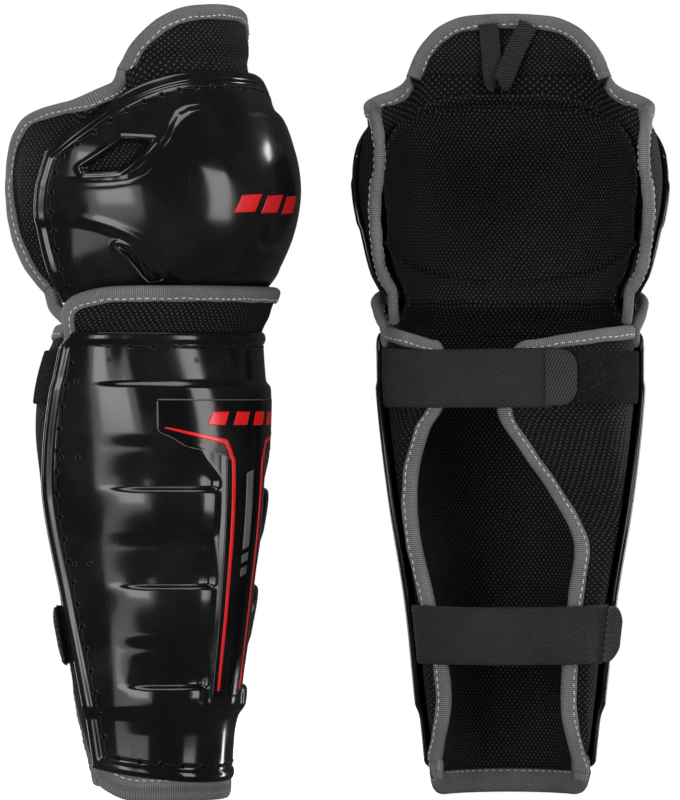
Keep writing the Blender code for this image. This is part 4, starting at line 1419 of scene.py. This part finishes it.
@dataclass
class Lining:
    """Mesh linings inside the shells, their seams, and the soft joints between the sections."""

    shin_inset: float = 13.0
    knee_inset: float = 14.2
    thick: float = 3.0
    shin_foot: float = 15.0
    shin_top: float = 284.0
    hinge_foot: float = 277.0
    hinge_top: float = 306.0
    knee_foot: float = 298.0
    shin_foam: tuple[float, float] = (16.0, 272.0)
    knee_foam_foot: float = 301.0

    def sheet(self, form: ShellForm, inset: float, turn: Array, height: Array, across: Array, up: Array,
              puff: Array | float = 0.0) -> Shape:
        """A crowned sheet of lining at an inset from a shell."""
        grid = form.at(turn, height, inset + puff)
        pattern = form.pattern(turn, height)
        half = crowned(across, up, 150.0, 150.0, self.thick, 2.5)
        return pillow(grid, half, pattern)

    def make(self, maker: Maker, cap: KneeCap) -> None:
        """Lines the shin and the knee and joins them with a soft hinge."""
        across, up = mesh_grid(90, 90)
        turn = 88 * (2 * across - 1)
        height = self.shin_foot + (self.shin_top - self.shin_foot) * up
        puff = 0.5 * np.sin(height / 23) * np.cos(np.radians(turn * 2))
        shape = self.sheet(SHIN, self.shin_inset, turn, height, across, up, puff)
        maker.piece("shin_lining", shape, LINING_MESH, "shin", ("shin_liner",), pad=0.3)
        self.make_foam(maker, cap)
        self.make_knee(maker, cap)
        self.make_hinge(maker)

    def make_hinge(self, maker: Maker) -> None:
        """A soft sheet that passes from the shin's lining to the knee's over a smooth step."""
        across, up = mesh_grid(90, 20)
        turn = 90 * (2 * across - 1)
        height = self.hinge_foot + (self.hinge_top - self.hinge_foot) * up
        low = SHIN.at(turn, height, self.shin_inset)
        high = KNEE.at(turn, np.maximum(height, 297), self.knee_inset + 0.5)
        grid = low + (high - low) * step(height, 283, 303)[..., None]
        grid[..., 2] = height
        half = crowned(across, up, 150.0, 25.0, self.thick + 0.6, 2.0)
        maker.piece("knee_soft_hinge", pillow(grid, half, SHIN.pattern(turn, height)), LINING_MESH, "knee",
                    pad=0.4, blend=("shin", "knee", 284, 303))

    def make_foam(self, maker: Maker, cap: KneeCap) -> None:
        """Lays the foam between each shell and its lining; it dips behind the cap's vents."""
        across, up = mesh_grid(50, 40)
        turn = 84 * (2 * across - 1)
        low, high = self.shin_foam
        height = low + (high - low) * up
        half = crowned(across, up, 180.0, 256.0, 4.6, 2.0)
        pattern = SHIN.pattern(turn, height)
        grid = SHIN.at(turn, height, 8.9)
        maker.piece("shin_foam_layer", pillow(grid, half, pattern), FOAM_DARK, "shin", ("shin_foam",),
                    pad=0.3)
        height = self.knee_foam_foot + (cap.top_at(turn) - 15 - self.knee_foam_foot) * up
        dip = 1 - step(cap.vent_distance(turn, height), 0, 6)
        half = crowned(across, up, 180.0, 110.0, 5.0, 2.0) * (1 - 0.5 * dip)
        grid = KNEE.at(turn, height, 9.6 + 3.0 * dip)
        maker.piece("knee_foam_layer", pillow(grid, half, pattern), FOAM_DARK, "knee", ("knee_foam",),
                    pad=0.3)

    def knee_seams(self, turn: Array) -> tuple[Array, Array]:
        """Heights of the knee cup's upper and lower arc seams, bowed apart in the middle."""
        bow = 1 - (turn / 76) ** 2
        return 405 + 15 * bow, 328 - 18 * bow

    def make_knee(self, maker: Maker, cap: KneeCap) -> None:
        """Lines the knee cup: a padded middle between an upper and a lower arc seam."""
        across, up = mesh_grid(110, 90)
        turn = 87 * (2 * across - 1)
        top = cap.top_at(turn) - 9
        height = self.knee_foot + (top - self.knee_foot) * up
        high_seam, low_seam = self.knee_seams(turn)
        upper, lower = high_seam - height, height - low_seam
        seams = np.exp(-(upper / 2.0) ** 2) + np.exp(-(lower / 2.0) ** 2)
        swell = 3.4 * step(upper, 0, 22) * step(lower, 0, 22)
        puff = swell + 1.2 - 2.6 * seams
        shape = self.sheet(KNEE, self.knee_inset, turn, height, across, up, puff)
        maker.piece("knee_lining", shape, LINING_MESH, "knee", ("knee_liner",), pad=0.5)
        turn = np.linspace(-64, 64, 160)
        rows = []
        for height in self.knee_seams(turn):
            line = KNEE.at(turn, height, self.knee_inset + self.thick / 2 - 1.4)
            inward = unit(KNEE.at(turn, height, 30.0) - line)
            rows.append(dashes(line, inward, 3.4, 1.7, 0.42, 0.1))
        maker.piece("knee_lining_seams", together(rows), THREAD_BLACK, "knee")


@dataclass
class KneeWings:
    """The two bound wings beside the knee."""

    edge: tuple[tuple[float, float], ...] = ((19, 304), (28, 318), (36, 336), (40, 360), (41, 380), (36, 398),
                                             (22, 410), (-14, 418))
    shoulder: tuple[tuple[float, float, float], ...] = (
        (86, -24, 420.5), (80, -31, 424.5), (72, -32.5, 427.5), (65, -31, 431.5), (60.5, -29.5, 437.5))
    inset: float = 7.0
    back_x: float = 79.0
    root: float = -18.0
    foot: float = 301.0
    thick: float = 6.4

    def point(self, side: Side, y: Array, height: Array) -> Array:
        """Points on a wing, which follows the cap inside its rim and leans in behind it."""
        rim = smooth(KNEE.rim, height)
        front = smooth(KNEE.width, height) - self.inset
        ahead = np.clip(rim - y, 0, None) / (KNEE.reach(height) - self.inset)
        front = front * np.sqrt(1 - ahead ** 2)
        lean = np.clip((y - rim) / 34, 0, 1) ** 1.3
        x = front + (np.minimum(front, self.back_x) - front) * lean
        return np.stack(np.broadcast_arrays(side.sign * x, y, height), axis=-1)

    def make(self, maker: Maker, binding: Binding) -> None:
        """Builds both wings and their tapes."""
        outline = spread(np.array(self.edge, float), 160)
        pad_edge = inset_line(outline, 4.0)[:125]
        for number, side in enumerate(Side):
            label = side.label
            across, up = mesh_grid(40, 125)
            root_height = self.foot + (self.edge[-1][1] - 5 - self.foot) * up
            y = self.root + (pad_edge[:, 0][:, None] - self.root) * across
            height = root_height + (pad_edge[:, 1][:, None] - root_height) * across
            half = crowned(across, up, 55.0, 110.0, self.thick, 5.0, TAPE_HOLD)
            shape = pillow(self.point(side, y, height), half, np.stack([y, height], axis=-1))
            maker.piece(f"knee_wing_pad_{label}", shape, SIDE_CLOTH, "knee", (f"knee_wing_{label}",), pad=0.4)
            inner = inset_line(outline, 3.0)
            edge = self.point(side, outline[:, 0], outline[:, 1])
            inside = self.point(side, inner[:, 0], inner[:, 1])
            tail = np.array(self.shoulder, float) * [side.sign, 1, 1]
            line = spread(np.vstack([edge[::8], tail]), 220)
            guide = spread(np.vstack([inside[::8], tail - [side.sign * 0.8, 0, 3.0]]), 220)
            inward, normal = edge_frames(line, guide)
            binding.make(maker, f"knee_tape_{label}", line, inward, normal, "knee",
                         (f"knee_binding_{label}",), 80 + 10 * number, blend=("knee", "thigh", 429, 441))


@dataclass
class SideLink:
    """The short tape on each side that joins the knee wing's tape to the calf wrap's."""

    width: float = 8.6
    thick: float = 6.0

    def make(self, maker: Maker, wrap: CalfWrap, wings: KneeWings) -> None:
        """Bends a folded tape from under the knee wing down to the wrap's top edge."""
        for side in Side:
            top = wings.point(side, np.array([22.0, 19.0]), np.array([309.0, 303.5]))
            foot = wrap.point(side, wrap.length(side, np.array(284.0)) - np.array([22.0]), np.array([284.5]))
            bend = (top[1] + foot[0]) / 2 + [0, 2.5, -1.5]
            path = spread(np.vstack([top, [bend], foot]), 60)
            run = unit(np.gradient(path, axis=0))
            inward = square_to(np.array([[0.0, -1.0, 0.12]]), run)
            normal = np.cross(run, inward)
            shape = swept(path, inward, normal, tape_section(self.width, self.thick))
            maker.piece(f"side_link_tape_{side.label}", shape, BINDING_GREY, "knee",
                        blend=("shin", "knee", 287, 304))


@dataclass
class TopFlap:
    """The soft flap that laps over the foot of the knee cap."""

    foot: float = 268.0
    top: float = 307.0
    drop: float = 14.0
    low_turn: float = 82.0
    high_turn: float = 89.0
    thick: float = 5.0
    per_turn: float = 1.45

    def edge_height(self, turn: Array) -> Array:
        """Height of the top edge, with its corners rounded down."""
        return self.top - self.drop * np.clip((np.abs(turn) - 62) / 27, 0, 1) ** 2.4

    def make(self, maker: Maker, binding: Binding) -> None:
        """Builds the flap and its tape."""
        across, up = mesh_grid(110, 24)
        share = 2 * across - 1
        height = self.foot + (self.top - self.foot) * up
        limit = self.low_turn + (self.high_turn - 3 - self.low_turn) * step(height, 270, 284)
        turn = share * limit
        height = self.foot + (self.edge_height(turn) - 4 - self.foot) * up
        grid = FLAP.at(turn, height, 0.0)
        pattern = FLAP.pattern(turn, height)
        half = crowned(across, up, 230.0, 34.0, self.thick, 4.0, TAPE_HOLD)
        maker.piece("top_flap_pad", pillow(grid, half, pattern), MESH_CLOTH, "shin", ("shin_top_flap",),
                    pad=0.5)
        right = np.array([(89, 271), (89.5, 284), (87.5, 294), (82, 300.5), (73, 304.5), (62, 306.5),
                          (40, 307)])
        scale = [self.per_turn, 1]
        flat = spread(np.vstack([right * [-1, 1], [[0, self.top]], right[::-1]]) * scale, 300)
        line, inner = (FLAP.at(*(points / scale).T, 0.0) for points in (flat, inset_line(flat, -3.0)))
        inward, normal = edge_frames(line, inner)
        binding.make(maker, "top_flap_tape", line, inward, normal, "shin", ("shin_top_flap_binding",), 120)


@dataclass
class ThighFlap:
    """The flap above the knee cap, its tape, its soft hinge and the hanging loop."""

    width: Stations = ((436, 61), (440, 60), (451, 56), (462, 48), (476, 34))
    front: float = -60.0
    side: float = -33.0
    foot: float = 437.0
    thick: float = 7.0

    def at(self, x: Array, height: Array, lift: Array | float = 0.0) -> Array:
        """Points on the flap's middle, an arc y = front + k x^2 across the thigh, moved back by a lift."""
        y = self.front + (self.side - self.front) * (np.asarray(x, float) / 56) ** 2 + lift
        return np.stack(np.broadcast_arrays(x, y, height), axis=-1)

    def outline(self, count: int) -> Array:
        """The free edge in the flap's plane, from one lower corner over the top to the other."""
        half = np.array([(61.5, 436), (59.5, 441), (56, 450), (50, 459), (42, 467), (30, 473), (15, 475.2)])
        left = half * [-1, 1]
        return spread(np.vstack([left, [[0, 475.8]], half[::-1]]), count)

    def make(self, maker: Maker, binding: Binding) -> None:
        """Builds the flap, its tape, the soft hinge under it and the loop."""
        outline = self.outline(241)
        inner = inset_line(outline, -4.0)
        across, up = mesh_grid(121, 40)
        top_line = resample(inner[24:-24], 121)
        x = top_line[:, 0][None] * up + np.linspace(-55, 55, 121)[None] * (1 - up)
        height = self.foot + (top_line[:, 1][None] - self.foot) * up
        grid = self.at(x, height)
        pattern = np.stack([x, height], axis=-1)
        half = crowned(across, up, 110.0, 34.0, self.thick, 4.0, 8.0)
        maker.piece("thigh_flap_pad", pillow(grid, half, pattern), MESH_CLOTH, "thigh", ("thigh_flap",),
                    pad=0.5)
        edge = self.at(*outline.T)
        inside = self.at(*inset_line(outline, -3.0).T)
        inward, normal = edge_frames(edge, inside)
        binding.make(maker, "thigh_flap_tape", edge, inward, normal, "thigh", ("thigh_flap_binding",), 140)
        self.hinge(maker)
        self.loop(maker)

    def hinge(self, maker: Maker) -> None:
        """The soft gusset from the knee's lining up to the flap's foot and the shoulders' tape."""
        across, up = mesh_grid(160, 34)
        turn = 86 * (2 * across - 1)
        low = KNEE.at(turn, 400 - 22 * (np.abs(turn) / 86) ** 2.5, 13.2)
        half = np.array([(86, -18, 417), (84, -26, 420.5), (79, -31, 423), (72, -32.3, 425),
                         (65, -31.5, 428.5), (59, -31.5, 436), (53, -35.5, 443), (35, -49.0, 446),
                         (15, -57.6, 446)], float)
        line = spread(np.vstack([half * [-1, 1, 1], [[0, -59.4, 446]], half[::-1]]), 160)
        share = up[..., None]
        grid = low * (1 - share) + line[None] * share
        grid[..., 1] += 2.4 * np.sin(np.pi * up) * np.cos(np.radians(turn))
        pattern = np.stack([across * 170, up * 44], axis=-1)
        thin = crowned(across, up, 170.0, 44.0, 3.4, 2.5)
        maker.piece("thigh_soft_hinge", pillow(grid, thin, pattern), LINING_MESH, "knee", pad=0.4,
                    blend=("knee", "thigh", 429, 443))

    def loop(self, maker: Maker) -> None:
        """The hanging loop: webbing folded into a V, one leg lying over the other."""
        route = np.array([(12, -53.0, 469), (10.5, -52.6, 452), (9, -52.2, 436), (6, -51.4, 431.5),
                          (2.5, -50.4, 436), (-4, -50.0, 452), (-12.5, -50.6, 469)], float)
        path = spread(route, 90)
        run = unit(np.gradient(path, axis=0))
        side = square_to(np.array([[1.0, 0.0, 0.0]]), run)
        under = np.array([(-6, -0.5), (-5.6, -0.62), (5.6, -0.62), (6, -0.5)])
        shape = swept(path, side, np.cross(side, run), np.vstack([under, -under]))
        maker.piece("hanging_loop_webbing", shape, ELASTIC_BLACK, "thigh", ("hanging_loop",))


@dataclass
class FootBinding:
    """The tape round the foot, from one calf wing's corner under the shell to the other's."""

    inset: float = 7.0
    half: float = 9.0
    bulk: float = 3.6

    def make(self, maker: Maker, binding: Binding, wrap: CalfWrap) -> None:
        """Carries a soft rounded roll along the foot; its lower side is level along the front."""
        turn = 88 * np.sin(np.linspace(-1, 1, 240) * np.pi / 2)
        lift = 9 * np.clip((np.abs(turn) - 60) / 28, 0, 1) ** 2
        path = SHIN.at(turn, np.full(240, 6.0), self.inset)
        path[:, 2] = self.half + 0.2 + lift
        tails = []
        for sign, end in ((-1, 31), (1, 19)):
            tail = wrap.wrap(np.linspace(4, end, 16), np.full(16, 19.0), 0.0) * [-sign, 1, 1]
            tail[:, 2] = 17.5
            tails.append(tail)
        whole = np.vstack([tails[0][::-1], path[3:-3], tails[1]])
        line = spread(whole[::6], 300)
        run = unit(np.gradient(line, axis=0))
        up = square_to(np.array([[0.0, 0.0, 1.0]]), run)
        out = np.cross(run, up)
        ring = round_section(1.0, 20)
        section = np.sign(ring) * np.abs(ring) ** 0.8 * [self.bulk, self.half]
        ends = 0.72 + 0.28 * np.clip(np.minimum(np.arange(300), np.arange(300)[::-1]) / 14, 0, 1)
        maker.piece("foot_tape", swept(line, out, up, section[None] * ends[:, None, None]), BINDING_GREY,
                    "shin", ("bottom_binding",))
        rows = together(binding.row(line + face * out * depth + up * rise, face * out)
                        for face, depth, rise in ((1, 3.5, 3.8), (-1, 3.45, 4.4)))
        maker.piece("foot_tape_stitches", rows, STITCH_PALE, "shin")


@dataclass
class Strap:
    """One elastic strap with its hook tab, pile patch and seams."""

    name: str
    height: float
    hinge: float
    seam: float
    tab_end: float
    patch_start: float
    flare: float
    width: float = 36.0
    rise: float = 4.0
    tab_rise: float = 6.6
    sewn_length: float = 8.6
    sewn_past_rim: float = 0.9

    def band(self, wrap: CalfWrap, turns: Array, rise: Array, half: Array, rows: int, sag: float = 0.0,
             flare: float = 0.0) -> tuple[Array, Array]:
        """A band round the wrap between two edges.

        Args:
            wrap: the calf wrap that it lies on.
            turns: turns from the +X rim along the band.
            rise: height of the band over the wrap.
            half: half width at each turn.
            rows: points across.
            sag: how far the middle of the band hangs.
            flare: how far the band's end stands off.

        Returns:
            The grid and its pattern coordinates.
        """
        up = np.linspace(-1, 1, rows)[:, None]
        share = np.linspace(0, 1, len(turns))
        height = self.height + up * half[None] - sag * np.sin(np.pi * share)[None]
        grid = wrap.wrap(180 - turns[None], height, rise[None])
        lift = flare * share ** 2
        grid[..., 0] -= 0.6 * lift
        grid[..., 1] += 0.2 * lift
        length = lengths_along(grid[rows // 2])
        return grid, np.stack(np.broadcast_arrays(length[None], up * half[None]), axis=-1)

    def sheet(self, grid: Array, pattern: Array, thick: float) -> Shape:
        """A band as a thin closed sheet with rounded edges."""
        rows, columns = grid.shape[:2]
        across, up = mesh_grid(columns, rows)
        half = crowned(across, up, 60.0, self.width, thick, 1.0)
        return pillow(grid, half, pattern)

    def make(self, maker: Maker, wrap: CalfWrap) -> None:
        """Builds the strap, its sewn end, the tab and the patch."""
        turns = np.linspace(self.hinge, self.seam + 3, 120)
        rise = self.rise + (self.tab_rise - self.rise) * np.clip(turns / 20, 0, 1)
        rise = rise + 0.35 * np.sin(turns / 9)
        half = self.width / 2 * (1 - 0.035 * np.sin(np.linspace(0, np.pi, 120)))
        grid, pattern = self.band(wrap, turns, rise, half, 25, sag=0.8)
        strap = f"{self.name}_strap"
        maker.piece(f"{self.name}_elastic", self.sheet(grid, pattern, 1.8), ELASTIC_BLACK, strap, (strap,))
        rows = []
        for back in (1.2, 4.6):
            at = int(np.argmin(np.abs(turns - (self.seam - back))))
            line = resample(grid[1:-1, at] - normals_of(grid)[1:-1, at], 60)
            rows.append(dashes(line, np.tile([0.0, 1.0, 0.0], (60, 1)), 2.6, 1.0, 0.3, 0.1))
        maker.piece(f"{self.name}_seam", together(rows), SEAM_BLACK, strap)
        self.make_tab(maker, wrap)
        self.make_patch(maker, wrap)
        self.make_sewn_end(maker, wrap)

    def make_tab(self, maker: Maker, wrap: CalfWrap) -> None:
        """The woven hook tab with its rounded end."""
        turns = np.linspace(self.seam - 1, self.tab_end + 1.5, 60)
        share = np.linspace(0, 1, 60)
        end = np.sqrt(np.clip(1 - np.clip((share - 0.4) / 0.6, 0, 1) ** 2, 0.02, 1))
        half = (self.width / 2 - 1) * (0.3 + 0.7 * end) * np.where(share > 0.985, 0.9, 1)
        rise = np.full(60, self.tab_rise + 1.4)
        rise = rise - 1.6 * step(share, 0.75, 1.0) * (self.flare == 0)
        grid, pattern = self.band(wrap, turns, rise, half, 31, flare=self.flare)
        maker.piece(f"{self.name}_tab_weave", self.sheet(grid, pattern, 1.7), TAB_WOVEN, f"{self.name}_tab",
                    (f"{self.name}_hook_tab",))

    def make_patch(self, maker: Maker, wrap: CalfWrap) -> None:
        """The pile patch under the tab."""
        turns = np.linspace(self.patch_start, 181, 110)
        rise = np.full(110, self.rise + 0.2)
        half = np.full(110, self.width / 2 - 2)
        grid, pattern = self.band(wrap, turns, rise, half, 33)
        maker.piece(f"{self.name}_pile_patch", self.sheet(grid, pattern, 2.0), PILE_BLACK, "shin",
                    (f"{self.name}_loop_patch",))

    def make_sewn_end(self, maker: Maker, wrap: CalfWrap) -> None:
        """The end of the elastic that is sewn under the shell's rim."""
        across = np.linspace(-1, 1, 21)[:, None] * self.width / 2
        run = np.linspace(-self.sewn_length, self.sewn_past_rim, 12)
        height = np.repeat(self.height + across, len(run), axis=1)
        grid = wrap.wrap(np.full_like(height, 180.0), height, self.rise)
        grid[..., 1] += run
        pattern = np.stack(np.broadcast_arrays(run, across), axis=-1)
        maker.piece(f"{self.name}_sewn_end_weave", self.sheet(grid, pattern, 1.6), ELASTIC_BLACK, "shin",
                    (f"{self.name}_strap_sewn_end",))


# ---------------------------------------------------------------- the guard and the studio


@dataclass
class Guard:
    """One whole guard."""

    maker: Maker
    binding: Binding = field(default_factory=Binding)

    def make(self) -> None:
        """Builds its sections in order, from the foot up."""
        wrap = CalfWrap()
        cap = KneeCap()
        ShinShell().make(self.maker)
        FootBinding().make(self.maker, self.binding, wrap)
        wrap.make(self.maker, self.binding)
        Lining().make(self.maker, cap)
        TopFlap().make(self.maker, self.binding)
        cap.make(self.maker)
        wings = KneeWings()
        wings.make(self.maker, self.binding)
        SideLink().make(self.maker, wrap, wings)
        ThighFlap().make(self.maker, self.binding)
        straps = (
            Strap("upper", height=253.0, hinge=3.4, seam=105.0, tab_end=118.0, patch_start=116.0, flare=0.0),
            Strap("lower", height=99.0, hinge=5.6, seam=160.0, tab_end=175.0, patch_start=140.0, flare=10.0),
        )
        for strap in straps:
            strap.make(self.maker, wrap)


@dataclass
class Studio:
    """Plain pale floor, soft lights and the camera."""

    distance: float = 4.0
    view_height: float = 0.2412
    floor_glow: float = 0.75
    aim: tuple[float, float, float] = (0.0004, 0.0, 0.2394)

    def make(self) -> None:
        """Sets the stage."""
        self.camera()
        self.floor()
        self.lights()
        self.world()

    def camera(self) -> None:
        """A long lens level with the middle of the guards."""
        data = bpy.data.cameras.new("camera")
        data.sensor_width = 36.0
        data.lens = 36.0 * self.distance / (2 * self.view_height)
        data.clip_end = 50.0
        item = bpy.data.objects.new("camera", data)
        item.location = (self.aim[0], self.aim[1] - self.distance, self.aim[2])
        item.rotation_euler = (math.pi / 2, 0, 0)
        bpy.context.scene.collection.objects.link(item)
        bpy.context.scene.camera = item

    def floor(self) -> None:
        """A wide pale sheet; it glows a little to the camera alone, so that it stays pale everywhere."""
        mesh = bpy.data.meshes.new("studio_floor")
        mesh.from_pydata([(-9, -6, 0), (9, -6, 0), (9, 1, 0), (-9, 1, 0)], [], [(0, 1, 2, 3)])
        material = bpy.data.materials.new("pale_floor")
        material.use_nodes = True
        nodes = Nodes(material.node_tree)
        shader = material.node_tree.nodes["Principled BSDF"]
        shader.inputs["Base Color"].default_value = (0.9, 0.9, 0.9, 1)
        shader.inputs["Roughness"].default_value = 0.9
        shader.inputs["Specular IOR Level"].default_value = 0.1
        shader.inputs["Emission Color"].default_value = (1, 1, 1, 1)
        path = nodes.add("ShaderNodeLightPath")
        glow = nodes.ramp(path.outputs["Is Camera Ray"], 0.0, 1.0, 0.0, self.floor_glow)
        material.node_tree.links.new(glow, shader.inputs["Emission Strength"])
        mesh.materials.append(material)
        item = bpy.data.objects.new("studio_floor", mesh)
        item.visible_glossy = False
        item.visible_shadow = False
        bpy.context.scene.collection.objects.link(item)
        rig.stage(item)

    def lights(self) -> None:
        """Tall soft boxes: azimuth from the camera's side, distance, size, height and power."""
        boxes = (
            ("left_box", -25, 1.6, (0.6, 0.9), 0.27, 7),
            ("left_box_edge", -25, 1.62, (0.95, 1.25), 0.27, 7),
            ("right_box", 48, 1.5, (0.5, 1.1), 0.30, 9),
            ("right_back_strip", 118, 1.5, (0.3, 1.4), 0.45, 20),
            ("left_back_strip", -125, 1.5, (0.3, 1.4), 0.45, 11),
            ("far_left_strip", -84, 1.8, (0.12, 1.2), 0.5, 5),
        )
        for name, azimuth, distance, size, height, power in boxes:
            angle = math.radians(azimuth)
            place = (distance * math.sin(angle), -distance * math.cos(angle), height)
            self.light(name, size, power, place, (math.pi / 2, 0, angle))
        self.light("top_box", (1.2, 0.8), 12, (0, -0.4, 1.7), (math.radians(14), 0, 0))

    def light(self, name: str, size: tuple[float, float], power: float, place: tuple[float, float, float],
              turned: tuple[float, float, float]) -> None:
        """Adds one soft box."""
        data = bpy.data.lights.new(name, "AREA")
        data.shape = "RECTANGLE"
        data.size, data.size_y = size
        data.energy = power
        item = bpy.data.objects.new(name, data)
        item.location = place
        item.rotation_euler = turned
        bpy.context.scene.collection.objects.link(item)

    def world(self) -> None:
        """White to the eye, dim in reflections, so that black plastic stays black."""
        world = bpy.data.worlds.new("studio")
        world.use_nodes = True
        bpy.context.scene.world = world
        nodes = Nodes(world.node_tree)
        base = world.node_tree.nodes["Background"]
        base.inputs["Color"].default_value = (1, 1, 1, 1)
        path = nodes.add("ShaderNodeLightPath")
        glossy = nodes.ramp(path.outputs["Is Glossy Ray"], 0.0, 1.0, 0.22, 0.05)
        strength = nodes.math("MAXIMUM", path.outputs["Is Camera Ray"], glossy)
        world.node_tree.links.new(strength, base.inputs["Strength"])
        view = bpy.context.scene.view_settings
        view.view_transform = "Standard"


def main() -> None:
    """Builds both guards and the studio around them."""
    logging.basicConfig(level=logging.INFO, format="%(message)s")
    effects = Effects()
    finishes = [value for value in globals().values() if isinstance(value, Finish)]
    materials = {finish.name: finish.material(effects) for finish in finishes}
    Studio().make()
    for name in ("guard1", "guard2"):
        Guard(Maker(Place.read(name), materials)).make()


if __name__ == "__main__":
    main()
    with open("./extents.json", "w", encoding="utf-8") as note:
        json.dump({"cad_box": [list(map(float, corner)) for corner in CAD_BOX],
                   "visual_box": [list(map(float, corner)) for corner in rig.bounds()]}, note)
